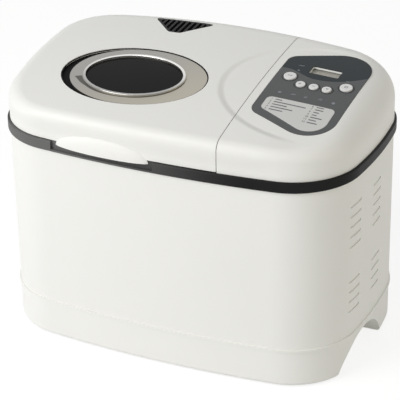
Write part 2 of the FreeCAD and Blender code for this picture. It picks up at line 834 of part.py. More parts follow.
def make_lid(outer, inner):
    """The lid: its cover with the lip and hinge cheeks, its metal liner, the window and the vent grille."""
    lid_low = f"({BAND_TOP} + lid_gap)"
    low = ("-half_width", "-2*half_depth", lid_low)
    shell = cut(
        overlap(outer, span(low, (LID_END, "2*half_depth", "2*crown_top"))),
        overlap(inner, span(("-half_width", "-2*half_depth", "band_low"),
                            (f"{LID_END} - wall", "2*half_depth", "2*crown_top"))),
    )
    swell = bind(doc.addObject("Part::Ellipsoid", "Lip"), Radius1="lip_height", Radius2="lip_half",
                 Radius3=LIP_THICK)
    facing = FreeCAD.Rotation(V(0, 0, 1), math.degrees(math.asin(size(LIP_SINE))))
    swell = place(swell, (f"{LIP_SWING}*{LIP_SINE}", LIP_Y, "lip_low"), facing)
    upper = overlap(swell, span(("-half_width", "-2*half_depth", "lip_low"), ("half_width", "0", "crown_top")))
    lip = cut(upper, envelope(BODY_INNER, lid_low, "crown_top"),
              envelope("band_reach", "band_low", f"{lid_low} - band_low"))
    relief = [span(("-half_width", "hinge_y", "band_low"),
                   ("seam_x", "2*half_depth", f"{BAND_TOP} + rear_slot"))]
    cheeks = []
    for x in HINGES:
        relief.append(span((f"{x} - {NOTCH}", "hinge_y", "band_low"),
                           (f"{x} + {NOTCH}", "2*half_depth", "hinge_z + cheek_radius + 2*side_clear")))
        for side in (-1, 1):
            middle = f"{x} + {side}*(ear_width/2 + side_clear + cheek/2)"
            cheeks.append(block(("cheek", "2*cheek_radius", "crown_top - hinge_z"),
                                (middle, "hinge_y", "hinge_z")))
            cheeks.append(rod("cheek_radius", "cheek", (f"{middle} - cheek/2", "hinge_y", "hinge_z"), "x"))
    cheeks = overlap(join(*cheeks), outer)
    boss_places = corners_of("chamber_x", "0", "boss_x", "boss_y")
    bosses = [layer(rod("boss", TALL, (x, y, BAND_TOP)), "wall/2", "liner_drop") for x, y in boss_places]
    bores = [layer(rod(SCREW_HOLE, TALL, (x, y, BAND_TOP)), "wall", "2*liner_drop") for x, y in boss_places]
    pin_holes = []
    for x in HINGES:
        pin_holes.append(rod("hinge_pin + run_clear", f"2*{NOTCH}", (f"{x} - {NOTCH}", "hinge_y", "hinge_z"), "x"))
    window = tall_oval("window_long", "window_short")
    cover = join(cut(shell, *relief), lip, cheeks, *bosses)
    piece("lid_cover", cut(cover, window, grown_grille("panel_gap"), *pin_holes, *bores))

    skirt = "(liner_margin + sheet)"
    level = f"({BAND_TOP} + liner_low)"
    outside = rounded_block((f"chamber_length + 2*{skirt}", f"chamber_depth + 2*{skirt}", TALL),
                            ("chamber_x", "0", level), f"chamber_corner + {skirt}")
    inside = rounded_block(("chamber_length + 2*liner_margin", "chamber_depth + 2*liner_margin", TALL),
                           ("chamber_x", "0", f"{level} - liner_low"), "chamber_corner + liner_margin")
    tray = cut(overlap(outside, crown_at("liner_drop")), overlap(inside, crown_at("liner_drop + sheet")))
    sight = tall_oval("glass_long - ledge", "glass_short - ledge")
    piece("lid_liner", cut(tray, sight, *bores))
    made = []
    for x, y in boss_places:
        head = layer(rod("screw_head", TALL, (x, y, BAND_TOP)), "liner_drop + sheet",
                     "liner_drop + sheet + screw_head_height")
        shank = layer(rod("screw", TALL, (x, y, BAND_TOP)), "liner_drop - screw_bite", "liner_drop + sheet")
        made.append(join(head, shank))
    piece("lid_screws", group(*made))

    carrier = layer(tall_oval("window_long + carrier_flange", "window_short + carrier_flange"), "wall",
                    CARRIER_LOW)
    pocket = layer(tall_oval("glass_long + side_clear", "glass_short + side_clear"), "0", GLASS_LOW)
    piece("window_carrier", cut(carrier, pocket, sight))
    plate = layer(tall_oval("window_long - ring_margin", "window_short - ring_margin_short",
                            "window_x + ring_shift"),
                  "ring_sunk", "wall")
    bead = layer(tall_oval("glass_long + side_clear + 2*bead", "glass_short + side_clear + 2*bead"),
                 "ring_sunk - bead_proud", "wall")
    eye = tall_oval("glass_long + side_clear", "glass_short + side_clear")
    piece("window_ring", cut(join(plate, bead), eye))
    piece("window_glass", layer(tall_oval("glass_long", "glass_short"), GLASS_TOP, GLASS_LOW))
    seal = layer(tall_oval("glass_long - ledge + seal_width", "glass_short - ledge + seal_width"),
                 CARRIER_LOW,
                 "liner_drop")
    piece("window_seal", cut(seal, sight))

    sunk = domed("band_reach + grille_sunk", "grille_sunk")
    under = domed(f"{BODY_INNER} + grille_flange_thick", "wall + grille_flange_thick")
    body = cut(overlap(grown_grille("0"), sunk), under)
    flange = cut(overlap(grown_grille("grille_flange"), inner), under)
    middle = (GRILLE_SLOTS - 1) / 2
    bars = []
    for i in range(GRILLE_SLOTS):
        x = f"grille_x + {i - middle}*grille_pitch"
        bars.append(block(("grille_slot", "half_depth", TALL),
                          (x, "(grille_back + grille_front)/2", BAND_TOP)))
    slots = overlap(grown_grille("-grille_rim"), join(*bars))
    piece("vent_grille", cut(join(body, flange), slots))


def make_controls(outer, inner):
    """The control housing with its panel, display, push buttons and circuit board."""
    shell = cut(
        overlap(outer, span((HOUSING_END, "-2*half_depth", BAND_TOP),
                            ("half_width", "2*half_depth", "2*crown_top"))),
        overlap(inner, span((f"{HOUSING_END} + wall", "-2*half_depth", "band_low"),
                            ("half_width", "2*half_depth", "2*crown_top"))),
    )
    frame = crown_normal_frame("panel_x", "panel_y")
    board_corners = corners_of("0", "0", "(board_width/2 - boss)", "(board_length/2 - boss)")

    def in_frame(thing):
        """Sets a thing made about the panel's middle onto the panel."""
        thing.Placement = frame
        return thing

    bosses = in_frame(group(*[rod("boss", "board_depth", (x, y, "-board_depth")) for x, y in board_corners]))
    bores = [rod(SCREW_HOLE, "screw_bite", (x, y, "-board_depth")) for x, y in board_corners]
    bores = in_frame(group(*bores))
    posts = [overlap(rod("boss", TALL, (x, y, BAND_TOP)), outer) for x, y in POSTS]
    post_bores = [rod(SCREW_HOLE, "screw_bite + deck", (x, y, DECK_LOW)) for x, y in POSTS]
    panel_radii = ["panel_small_corner", "panel_large_corner", "panel_large_corner", "panel_small_corner"]
    grown = [(f"{x} + {a}*panel_gap", f"{y} + {b}*panel_gap") for (x, y), a, b in
             zip(PANEL_OUTLINE, (-1, 1, 1, -1), (-1, -1, 1, 1))]
    pocket = cut(tall_outline(grown, panel_radii), crown_at("panel_thick"))
    key_holes = in_frame(group(*[rod(f"{r} + button_gap", "board_depth", (x, y, "-board_depth/2"))
                                 for x, y, r in BUTTONS.values()]))
    sight = block(("display_width", "display_depth", TALL), ("display_x", "display_y", BAND_TOP))
    housing = join(shell, bosses, *posts)
    piece("control_housing", cut(housing, pocket, key_holes, sight, bores, *post_bores))

    panel = layer(tall_outline(PANEL_OUTLINE, panel_radii), "0", "panel_thick")
    piece("control_panel", cut(panel, key_holes, sight))
    card_radii = ["card_small_corner", "card_large_corner", "card_small_corner", "card_small_corner"]
    piece("program_card", layer(tall_outline(CARD_OUTLINE, card_radii), "-card_thick", "0"))
    lens = block(("display_width + 2*lens_margin", "display_depth + 2*lens_margin", TALL),
                 ("display_x", "display_y", BAND_TOP))
    piece("display_lens", layer(lens, "wall", "wall + lens_thick"))
    lcd = block(("display_width + 2*lcd_margin", "display_depth + 2*lcd_margin",
                 "board_depth - wall - lens_thick - lcd_gap"),
                ("display_x - panel_x", "display_y - panel_y", "-board_depth"))
    piece("lcd_module", in_frame(group(lcd)))
    board = block(("board_width", "board_length", "board_thick"), ("0", "0", "-board_depth - board_thick"))
    holes = [rod(SCREW_HOLE, "board_depth", (x, y, "-board_depth - 2*board_thick")) for x, y in board_corners]
    piece("control_board", in_frame(cut(board, *holes)))
    switches = []
    switch_top = "(-board_depth + switch_height + switch_plunger)"
    for name, (x, y, radius) in BUTTONS.items():
        body = block(("switch_side", "switch_side", "switch_height"), (x, y, "-board_depth"))
        plunger = rod("button_stem", "switch_height + switch_plunger", (x, y, "-board_depth"))
        switches.append(join(body, plunger))
        stem_low = f"({switch_top} + button_travel + switch_gap)"
        cap = rod(radius, "button_flange_low + button_proud", (x, y, "-button_flange_low"))
        cap = rounded(cap, "button_round", at_level("button_proud"))
        flange = rod(f"{radius} + 2*button_gap", "button_flange", (x, y, "-button_flange_low"))
        stem = rod("button_stem", f"-button_flange_low - {stem_low} + button_flange", (x, y, stem_low))
        piece(name, in_frame(join(cap, flange, stem)))
    piece("key_switches", in_frame(group(*switches)))

    case = screws([(x, y, "floor_low") for x, y in PILLARS], "chassis_z - floor_low + chassis_thick")
    posted = screws([(x, y, DECK_LOW) for x, y in POSTS], "deck + screw_bite")
    boarded = in_frame(screws([(x, y, "-board_depth - board_thick") for x, y in board_corners],
                              "board_thick + screw_bite"))
    piece("case_screws", group(case, posted, boarded))


def make_oven():
    """The oven chamber on its spacers, with its heating element, sensors and pan socket."""
    wide = "(chamber_length + 2*sheet)"
    deep = "(chamber_depth + 2*sheet)"
    low = "(chamber_floor - sheet)"
    outer = rounded_block((wide, deep, f"{DECK_LOW} - {low}"), ("chamber_x", "0", low),
                          "chamber_corner + sheet")
    flange = rounded_block((f"{wide} + 2*chamber_flange", f"{deep} + 2*chamber_flange", "sheet"),
                           ("chamber_x", "0", f"{DECK_LOW} - sheet"),
                           "chamber_corner + sheet + chamber_flange")
    inner = rounded_block(("chamber_length", "chamber_depth", "band_low"),
                          ("chamber_x", "0", "chamber_floor"),
                          "chamber_corner")
    shaft_hole = rod("drive_shaft + 2*side_clear", "2*sheet", ("chamber_x", "0", f"{low} - sheet/2"))
    ends = ("element_end_y", "-element_end_y")
    collar = "(element_radius + insulator)"
    wall_start = f"{CHAMBER_RIGHT} - insulator_length/2"
    wall_holes = [rod(f"{collar} + run_clear", "insulator_length", (wall_start, y, "element_z"),
                      "x") for y in ends]
    probe_start = (f"{CHAMBER_RIGHT} - probe_inside", "0", "probe_z")
    probe_hole = rod("probe + run_clear", "probe_inside + probe_outside", probe_start, "x")
    piece("oven_chamber", cut(join(outer, flange), inner, shaft_hole, probe_hole, *wall_holes))
    spots = corners_of("chamber_x", "0", "spacer_x", "spacer_y")
    spacers = [rod("spacer", f"{low} - {CHASSIS_TOP}", (x, y, CHASSIS_TOP)) for x, y in spots]
    piece("chamber_spacers", group(*spacers))

    z = size("element_z")
    right, left = size("chamber_x + element_half_length"), size("chamber_x - element_half_length")
    tail = size(f"{CHAMBER_RIGHT} + sheet + element_tail")
    depth, end = size("element_half_depth"), size("element_end_y")
    corner, bend = size("element_corner"), size("element_end_bend")
    route = [(tail, end, 0), (right, end, bend), (right, depth, corner), (left, depth, corner),
             (left, -depth, corner), (right, -depth, corner), (right, -end, bend), (tail, -end, 0)]
    piece("heating_element", pipe(path([(V(x, y, z), r) for x, y, r in route]), "element_radius"))
    seats = [("chamber_x", "element_half_depth"), ("chamber_x", "-element_half_depth"),
             ("chamber_x - element_half_length", "0")]
    clip = ("clip_side", "clip_side", "element_z - element_radius - chamber_floor")
    piece("element_clips", group(*[block(clip, (x, y, "chamber_floor")) for x, y in seats]))
    rings = []
    for y in ends:
        ring = rod(collar, "insulator_length", (wall_start, y, "element_z"), "x")
        hole_start = (f"{wall_start} - insulator_length/2", y, "element_z")
        hole = rod("element_radius + run_clear", "2*insulator_length", hole_start, "x")
        rings.append(cut(ring, hole))
    piece("element_insulators", group(*rings))
    stem = rod("probe", "probe_inside + sheet + probe_outside", probe_start, "x")
    nut = rod("probe_nut", "probe_outside/2", (f"{CHAMBER_RIGHT} + sheet", "0", "probe_z"), "x")
    piece("temperature_probe", join(stem, nut))
    piece("thermal_fuse", block(("fuse_thick", "fuse_length", "fuse_height"),
                                (f"{CHAMBER_RIGHT} + sheet + fuse_thick/2", "fuse_y", "fuse_z")))

    ring = rod(f"{SOCKET_BORE} + socket_width", "socket_height", ("chamber_x", "0", "chamber_floor"))
    bore = rod(SOCKET_BORE, "2*socket_height", ("chamber_x", "0", "chamber_floor - socket_height/2"))
    slots = []
    lug_low = "(chamber_floor + collar_lift + lug_lift)"
    for side in (-1, 1):
        middle = f"chamber_x + {side}*(collar + lug_reach/2)"
        deep_slot = f"{side}*twist_room/2"
        width = "(lug_width + 2*lug_clear)"
        run = block(("2*lug_reach", f"{width} + twist_room", "lug_height + 2*lug_clear"),
                    (middle, deep_slot, f"{lug_low} - lug_clear"))
        entry = block(("2*lug_reach", width, "socket_height"),
                      (middle, f"{side}*twist_room", f"{lug_low} - lug_clear"))
        slots.extend((run, entry))
    piece("pan_socket", cut(ring, bore, *slots))


def make_pan():
    """The bread pan with its collar, bush and seal, its bail, and the kneading paddle on its shaft."""
    low_half = ("pan_low_half_length", "pan_low_half_depth")
    high_half = ("pan_low_half_length + pan_draft", "pan_low_half_depth + pan_draft")
    outer = frustum(low_half, high_half, ("chamber_x", "0", "pan_low"), "pan_high - pan_low")
    outer = rounded(outer, "pan_corner", leaning)
    inner = frustum([f"{n} - pan_wall" for n in low_half], [f"{n} - pan_wall" for n in high_half],
                    ("chamber_x", "0", PAN_FLOOR), f"pan_high - {PAN_FLOOR}")
    inner = rounded(inner, "pan_corner - pan_wall", leaning)
    rim = rounded_block((f"2*{RIM_HALF_LENGTH}", "2*(pan_low_half_depth + pan_draft + rim_reach)",
                         "rim_height"),
                        ("chamber_x", "0", "pan_high - rim_height"), "pan_corner + rim_reach")
    wall_at_pivot = f"(pan_low_half_length + pan_draft*({PIVOT_Z} - pan_low)/(pan_high - pan_low) - pan_wall/2)"
    pin_end = f"({BAIL_X} + bail_eye_width/2 + side_clear)"
    pins = []
    for side, start in ((1, wall_at_pivot), (-1, f"(-{pin_end})")):
        pins.append(rod("bail_pin", f"{pin_end} - {wall_at_pivot}", (f"chamber_x + {start}", "0", PIVOT_Z),
                        "x"))
        head = f"chamber_x + {side}*{pin_end}" if side > 0 else f"chamber_x - {pin_end} - bail_pin_head_thick"
        pins.append(rod("bail_pin_head", "bail_pin_head_thick", (head, "0", PIVOT_Z), "x"))
    bush_hole = rod("pan_bush + run_clear", "4*pan_wall", ("chamber_x", "0", "pan_low - pan_wall"))
    piece("bread_pan", cut(join(outer, rim, *pins), inner, bush_hole))

    collar_low = "(chamber_floor + collar_lift)"
    ring = rod("collar", f"pan_low - {collar_low}", ("chamber_x", "0", collar_low))
    hollow = rod("collar - collar_wall", "pan_low", ("chamber_x", "0", "0"))
    lugs = []
    for side in (-1, 1):
        middle = f"chamber_x + {side}*(collar + lug_reach/2 - collar_wall/4)"
        lugs.append(block(("lug_reach + collar_wall/2", "lug_width", "lug_height"),
                          (middle, "0", f"{collar_low} + lug_lift")))
    piece("pan_collar", cut(join(ring, *lugs), hollow))
    stem = rod("pan_bush", "pan_bush_drop + pan_wall", ("chamber_x", "0", "pan_low - pan_bush_drop"))
    flange = rod("pan_bush_flange", "pan_bush_flange_height", ("chamber_x", "0", PAN_FLOOR))
    bore = rod("paddle_shaft + run_clear", "pan_high", ("chamber_x", "0", "0"))
    piece("pan_bush", cut(join(stem, flange), bore))
    seal = rod("pan_bush", "shaft_seal", ("chamber_x", "0", f"{PAN_FLOOR} + pan_bush_flange_height"))
    piece("shaft_seal", cut(seal, bore))

    arm, half, turn = size("bail_arm"), size(BAIL_X), size("bail_corner")
    route = [(V(-half, 0, 0), 0), (V(-half, -arm, 0), turn), (V(half, -arm, 0), turn), (V(half, 0, 0), 0)]
    eyes = []
    holes = []
    for side in (-1, 1):
        eyes.append(rod("bail_eye", "bail_eye_width", (f"{side}*{BAIL_X} - bail_eye_width/2", "0", "0"), "x"))
        hole_start = (f"{side}*{BAIL_X} - 1.5*bail_eye_width", "0", "0")
        holes.append(rod("bail_pin + run_clear", "3*bail_eye_width", hole_start, "x"))
    bail = cut(join(pipe(path(route), "bail_wire"), *eyes), *holes)
    lean = math.degrees(math.asin(size(BAIL_RISE) / arm))
    bail.Placement = FreeCAD.Placement(V(size("chamber_x"), 0, size(PIVOT_Z)),
                                       FreeCAD.Rotation(V(1, 0, 0), -lean))
    piece("pan_bail", bail)

    top = f"({HUB_LOW} + paddle_hub_height)"
    shaft = rod("paddle_shaft", f"{top} - {WING_LOW} - paddle_gap", ("chamber_x", "0", WING_LOW))
    wing = block(("wing_length", "wing_width", "wing_height"), ("chamber_x", "0", WING_LOW))
    piece("paddle_shaft", join(shaft, wing))
    hub = rod("paddle_hub", "paddle_hub_height", ("chamber_x", "0", HUB_LOW))
    blade = block(("paddle_reach", "paddle_blade", "paddle_blade_height"),
                  ("chamber_x + paddle_reach/2", "0", HUB_LOW))
    blade = rounded(blade, "paddle_blade/3",
                    lambda edge: edge.BoundBox.XMin > size("chamber_x + paddle_reach/2"))
    socket = rod("paddle_shaft + run_clear", f"{top} - paddle_gap - {PAN_FLOOR}",
                 ("chamber_x", "0", PAN_FLOOR))
    room = rod("paddle_shaft + side_clear", "paddle_blade_height", ("chamber_x", "0", top))
    piece("kneading_paddle", cut(join(hub, blade), socket, room))


def make_pulley(x, radius, windows, shaft):
    """A flat belt pulley with two flanges, bored for its shaft and lightened by windows."""
    floor_of_groove = rod(radius, PULLEY_HEIGHT, (x, "0", "pulley_low"))
    flanges = [rod(f"{radius} + pulley_flange_reach", "pulley_flange", (x, "0", z))
               for z in ("pulley_low", f"pulley_low + {PULLEY_HEIGHT} - pulley_flange")]
    bore = rod(f"{shaft} + run_clear", "chassis_z", (x, "0", "0"))
    return cut(join(floor_of_groove, *flanges), bore, *windows)


def make_drive():
    """The chassis with the motor, the belt, the bearing and the shaft that turns the kneader."""
    middle = "(chassis_left + chassis_right)/2"
    plate = block(("chassis_right - chassis_left", "2*chassis_half_depth", "chassis_thick"),
                  (middle, "0", "chassis_z"))
    outside = f"({BEARING_BORE} + bearing_wall)"
    holes = [rod(f"{outside} + side_clear", "4*chassis_thick",
                 ("chamber_x", "0", "chassis_z - chassis_thick")),
             rod("motor_hole", "4*chassis_thick", ("motor_x", "0", "chassis_z - chassis_thick"))]
    holes += [rod(SCREW_HOLE, "4*chassis_thick", (x, y, "chassis_z - chassis_thick")) for x, y in PILLARS]
    bolt_places = corners_of("motor_x", "0", "(motor_length/2 - motor_bolt_inset)",
                             "(motor_width/2 - motor_bolt_inset)")
    bolt_hole = "(motor_bolt + run_clear)"
    bolt_holes = [rod(bolt_hole, "band_low", (x, y, "0")) for x, y in bolt_places]
    piece("chassis_plate", cut(plate, *holes, *bolt_holes))

    top = "(chamber_floor - sheet - side_clear)"
    tube = rod(outside, f"{top} - bearing_low", ("chamber_x", "0", "bearing_low"))
    flange = rod("bearing_flange", "bearing_flange_height", ("chamber_x", "0", CHASSIS_TOP))
    bore = rod(BEARING_BORE, "chamber_floor", ("chamber_x", "0", "0"))
    piece("bearing_housing", cut(join(tube, flange), bore))
    shaft_bore = rod("drive_shaft + run_clear", "chamber_floor", ("chamber_x", "0", "0"))
    bushes = [cut(rod(BEARING_BORE, "bush_length", ("chamber_x", "0", z)), shaft_bore)
              for z in ("bearing_low", f"{top} - bush_length")]
    piece("shaft_bushes", group(*bushes))

    shaft_low = "(pulley_low - pulley_flange)"
    drive_length = f"{DOG_LOW} + dog_height - {shaft_low}"
    piece("drive_shaft", rod("drive_shaft", drive_length, ("chamber_x", "0", shaft_low)))
    hub = rod("dog_radius", "dog_height", ("chamber_x", "0", DOG_LOW))
    pins = [rod("dog_pin", "dog_height + dog_gap + wing_height",
                ("chamber_x", f"{side}*dog_pin_ring", DOG_LOW))
            for side in (-1, 1)]
    dog_bore = rod("drive_shaft + run_clear", "2*dog_height", ("chamber_x", "0", f"{DOG_LOW} - dog_height/2"))
    piece("drive_dog", cut(join(hub, *pins), dog_bore))
    ring = "(pulley_hub + large_pulley)/2"
    windows = []
    for i in range(PULLEY_HOLES):
        angle = 360 * i / PULLEY_HOLES
        at = (f"chamber_x + {ring}*cos({angle})", f"{ring}*sin({angle})", "0")
        windows.append(rod("pulley_hub", "chassis_z", at))
    piece("large_pulley", make_pulley("chamber_x", "large_pulley", windows, "drive_shaft"))

    caps = []
    for z in (CHASSIS_TOP, f"{CHASSIS_TOP} + motor_cap + motor_core"):
        caps.append(block(("motor_length", "motor_width", "motor_cap"), ("motor_x", "0", z)))
    rotor_bore = rod("motor_shaft + run_clear", "band_low", ("motor_x", "0", "0"))
    piece("motor_caps", group(*[cut(cap, rotor_bore, *bolt_holes) for cap in caps]))
    core = rounded_block(("motor_length - 2*motor_core_inset", "motor_width - 2*motor_core_inset",
                          "motor_core"),
                         ("motor_x", "0", f"{CHASSIS_TOP} + motor_cap"), "motor_core_inset")
    stator_bore = rod("motor_bore", "band_low", ("motor_x", "0", "0"))
    piece("motor_core", cut(core, stator_bore, *bolt_holes))
    bolts = []
    for x, y in bolt_places:
        shank = rod("motor_bolt", f"{MOTOR_TOP} - chassis_z", (x, y, "chassis_z"))
        head = rod("2*motor_bolt", "motor_bolt", (x, y, MOTOR_TOP))
        bolts.append(join(shank, head))
    piece("motor_bolts", group(*bolts))
    rotor_low = f"({CHASSIS_TOP} + motor_cap + motor_air_gap)"
    shaft = rod("motor_shaft", f"{MOTOR_TOP} + fan_gap + fan_height - {shaft_low}",
                ("motor_x", "0", shaft_low))
    rotor = rod("motor_bore - motor_air_gap", "motor_core - 2*motor_air_gap", ("motor_x", "0", rotor_low))
    piece("motor_rotor", join(shaft, rotor))
    piece("motor_pulley", make_pulley("motor_x", "small_pulley", [], "motor_shaft"))
    fan_low = f"({MOTOR_TOP} + fan_gap)"
    blades = []
    for i in range(FAN_BLADES):
        blade = bind(doc.addObject("Part::Box", "Blade"), Length="fan_radius", Width="fan_blade",
                     Height="fan_height")
        turned = FreeCAD.Rotation(V(0, 0, 1), 360 * i / FAN_BLADES)
        blades.append(place(blade, ("motor_x", "0", fan_low), turned))
    disc = rod("fan_radius", "fan_blade", ("motor_x", "0", fan_low))
    fan_hub = rod("fan_hub", "fan_height", ("motor_x", "0", fan_low))
    piece("cooling_fan", cut(join(disc, fan_hub, *blades), rotor_bore))
    piece("drive_belt", make_belt())


def belt_loop(grow):
    """The tight loop round both pulleys, outside them by a distance: two arcs joined by two lines."""
    start, end = size("chamber_x"), size("motor_x")
    large, small = size("large_pulley") + grow, size("small_pulley") + grow
    tilt = math.acos((large - small) / (end - start))
    across, along = math.sin(tilt), math.cos(tilt)
    top = [V(start + large * along, large * across, 0), V(end + small * along, small * across, 0)]
    bottom = [V(start + large * along, -large * across, 0), V(end + small * along, -small * across, 0)]
    edges = [
        Part.makeLine(top[0], top[1]),
        Part.Arc(top[1], V(end + small, 0, 0), bottom[1]).toShape(),
        Part.makeLine(bottom[1], bottom[0]),
        Part.Arc(bottom[0], V(start - large, 0, 0), top[0]).toShape(),
    ]
    return Part.Face(Part.Wire(edges))


def make_belt():
    """The belt, a flat band that runs just clear of the pulleys."""
    inner, outer = size("belt_clear"), size("belt_clear + belt_thick")
    thing = doc.addObject("Part::Feature", "Belt")
    thing.Shape = belt_loop(outer).cut(belt_loop(inner)).extrude(V(0, 0, size("belt_width")))
    return place(thing, ("0", "0", "pulley_low + pulley_flange + belt_side_clear"))


def make_electrics():
    """The capacitor, the power board, the mains terminals and the loom up to the control board."""
    piece("capacitor", rod("capacitor", "capacitor_length", ("capacitor_x", "capacitor_y", CHASSIS_TOP)))
    board = block(("power_board_length", "board_thick", "power_board_height"),
                  ("power_board_x", "power_board_y", CHASSIS_TOP))
    face = "(power_board_y - board_thick/2)"
    transformer = block(("transformer_length", "transformer_reach", "transformer_height"),
                        ("power_board_x - power_board_length/4", f"{face} - transformer_reach/2",
                         f"{CHASSIS_TOP} + power_board_height/2"))
    relay = block(("relay_length", "relay_reach", "relay_height"),
                  ("power_board_x + power_board_length/4", f"{face} - relay_reach/2",
                   f"{CHASSIS_TOP} + power_board_height/2"))
    piece("power_board", join(board, transformer, relay))
    piece("terminal_block", block(("terminal_length", "terminal_width", "terminal_height"),
                                  ("terminal_x", "terminal_y", CHASSIS_TOP)))
    frame = crown_normal_frame("panel_x", "panel_y")
    x = size("loom_x")
    foot = V(x, size("power_board_y"), size(f"{CHASSIS_TOP} + power_board_height"))
    end = frame.multVec(V(x - size("panel_x"), size("loom_y"), -size("board_depth + board_thick")))
    turn = V(foot.x, foot.y, foot.z + size("loom_rise"))
    below = V(end.x, end.y, turn.z + (foot.y - end.y))
    bend = size("loom_bend")
    piece("control_loom", pipe(path([(foot, 0), (turn, bend), (below, bend), (end, 0)]), "loom"))


def write_parts():
    """Checks every object and each sub-part's shape, then writes the sub-parts."""
    doc.recompute()
    failed = [thing.Name for thing in doc.Objects if "Invalid" in thing.State or "Error" in thing.State]
    if failed:
        raise RuntimeError(f"not built: {failed}")
    os.makedirs("parts", exist_ok=True)
    for thing in pieces:
        if thing.Shape.isNull() or not thing.Shape.isValid() or not thing.Shape.Solids:
            raise RuntimeError(f"{thing.Label} has no valid solid")
    for thing in pieces:
        thing.Shape.exportStep(f"parts/{thing.Label}.step")
        print(f"{thing.Label}: {len(thing.Shape.Solids)} solids, {thing.Shape.Volume / 1000:.1f} cm3")


outer_crown = domed("band_reach", "0")
inner_crown = domed(BODY_INNER, "wall")
make_base()
make_casing()
make_top_frame()
make_lid(outer_crown, inner_crown)
make_controls(outer_crown, inner_crown)
make_oven()
make_pan()
make_drive()
make_electrics()
write_parts()
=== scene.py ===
"""Looks of a bread machine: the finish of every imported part, and the trim, prints and stage round them.

The frame's origin is the middle of the footprint on the worktop, with +X to the control housing, -Y to the
front and +Z up. Shapes are worked out in millimetres and put into the meshes in metres.
"""

import math

import bpy
import numpy as np
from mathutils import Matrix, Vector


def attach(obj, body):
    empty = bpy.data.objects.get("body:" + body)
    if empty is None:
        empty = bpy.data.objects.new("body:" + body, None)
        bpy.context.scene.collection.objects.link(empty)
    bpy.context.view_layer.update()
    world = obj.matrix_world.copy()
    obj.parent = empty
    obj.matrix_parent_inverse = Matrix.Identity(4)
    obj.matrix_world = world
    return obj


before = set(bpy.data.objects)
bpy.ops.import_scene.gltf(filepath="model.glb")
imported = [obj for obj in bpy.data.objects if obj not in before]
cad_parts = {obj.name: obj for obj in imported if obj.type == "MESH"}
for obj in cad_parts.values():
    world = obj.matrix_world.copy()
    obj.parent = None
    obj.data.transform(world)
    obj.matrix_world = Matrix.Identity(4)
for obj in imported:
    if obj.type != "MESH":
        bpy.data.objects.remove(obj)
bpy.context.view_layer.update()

bl_info = {
    "name": "Bread machine looks",
    "version": (1, 0, 0),
    "blender": (4, 5, 0),
    "location": "View3D > Sidebar > Bread machine",
    "description": "Finishes, trim, prints and stage of a bread machine",
    "category": "Object",
}

MM = 0.001
ROUND = 2 * math.pi

# Domed top of the lid and the control housing: height and Y of its crest, and its radii over Y and over X
CROWN_TOP = 266.0
CREST_Y = 125.0
CROWN_ALONG = 1000.0
CROWN_ACROSS = 2150.0

# Right side of the casing: its reach, the radii of its bow and of the front corner, and the corner's centre
HALF_WIDTH = 176.0
SIDE_ARC = 444.25
CORNER_RADIUS = 66.0
CORNER = np.array((107.867, -40.114))

# Window in the lid: its centre, and the half axes of the glass and of the hole that holds the ring
WINDOW = np.array((-53.0, -30.6))
GLASS_HALF = np.array((47.3, 31.7))
HOLE_HALF = np.array((72.0, 47.4))
OVAL_POINTS = 200

# Polished bead at the edge of the glass: half its width, its foot over the domed top and its rise
BEAD_HALF = 1.3
BEAD_FOOT = 0.15
BEAD_RISE = 0.7
BEAD_POINTS = 9

# The hem is painted shadow: a band in the carrier's black, laid over the gap inside the hole
# Dark hem inside the hole: its two edges, measured inwards from the hole, and its levels over the domed top
HEM_INNER = 1.3
HEM_OUTER = 0.05
HEM_LEVELS = (-1.0, -0.6)

# The dark step is painted shade: a dark band laid on the ring where the bead's outer flank is shaded
# Dark step outside the bead: level of the satin ring, the step's own levels, and its width at some degrees
PLATE_LIFT = -0.9
STEP_LEVELS = (PLATE_LIFT - 0.1, PLATE_LIFT + 0.05)
STEP_WIDTHS = ((199.0, 7.5), (206.0, 5.5), (225.0, 2.8), (270.0, 2.0), (330.0, 1.7), (360.0, 1.2),
               (363.0, 0.6))
STEP_POINTS = 120

# Sheet behind the side vents: its ends along Y and Z, and how deep its two faces lie in the wall
VENT_FRONT = -58.0
VENT_BACK = 14.0
VENT_LOW = 60.0
VENT_HIGH = 178.0
SLAT_OUTER = 3.6
SLAT_INNER = 4.0
SLAT_POINTS = 25

# The strip's grey is painted shade of the seam
# Strip in the seam: its gap to both walls, how near the wall its edge's points lie, the lowest of them, the
# point of the YZ plane that the strip is sunk towards, and the depths of its two faces
SEAM_GAP = 0.02
SEAM_NEAR = 0.05
SEAM_FOOT = 212.0
SEAM_CENTRE = np.array((0.0, 200.0))
SEAM_DEPTHS = (0.7, 1.7)

# Lower and upper levels of the prints, over the domed top and for the keys over each key's own top
CARD_LEVELS = (0.2, 0.3)
PANEL_LEVELS = (-0.02, 0.05)
# The rings round the keys are painted shadow
KEY_SHADOW_LEVELS = (-0.02, 0.06)
KEY_LEVELS = (-0.1, 0.04)

# Points of a circle in a sign and of the ring of painted shadow round a key
SIGN_POINTS = 17
KEY_SHADOW_POINTS = 33

# Columns of the card: X of the numbers, left end of the bars, first number, then Y and right end of each bar
CARD_COLUMNS = (
    (84.2, 87.2, 1, ((-31.0, 93.5), (-34.8, 117.4), (-38.8, 100.9), (-42.8, 107.8), (-46.8, 99.9))),
    (122.8, 126.0, 6, ((-30.2, 133.1), (-34.0, 133.7), (-38.1, 131.1), (-42.1, 130.5), (-45.9, 136.7),
                       (-50.0, 132.9), (-54.0, 135.2))),
)
BAR_POINTS = 6
DIGIT_PITCH = 0.75

# Floor: its radius and level, and the rings and spokes of its grid
FLOOR_RADIUS = 8000.0
FLOOR_LEVEL = -0.2
FLOOR_RINGS = 24
FLOOR_SPOKES = 64

# Point that the lamps face, in metres, and width of the camera's sensor
LAMP_AIM = (0.0, 0.0, 0.15)
SENSOR_WIDTH = 36.0

# Clouds in a colour, patches of gloss and lines of metal, in cycles to the metre, and the lines' stretch
CLOUD_SCALE = 14.0
PATCH_SCALE = 60.0
LINE_SCALE = 2600.0
LINE_STRETCH = 0.02

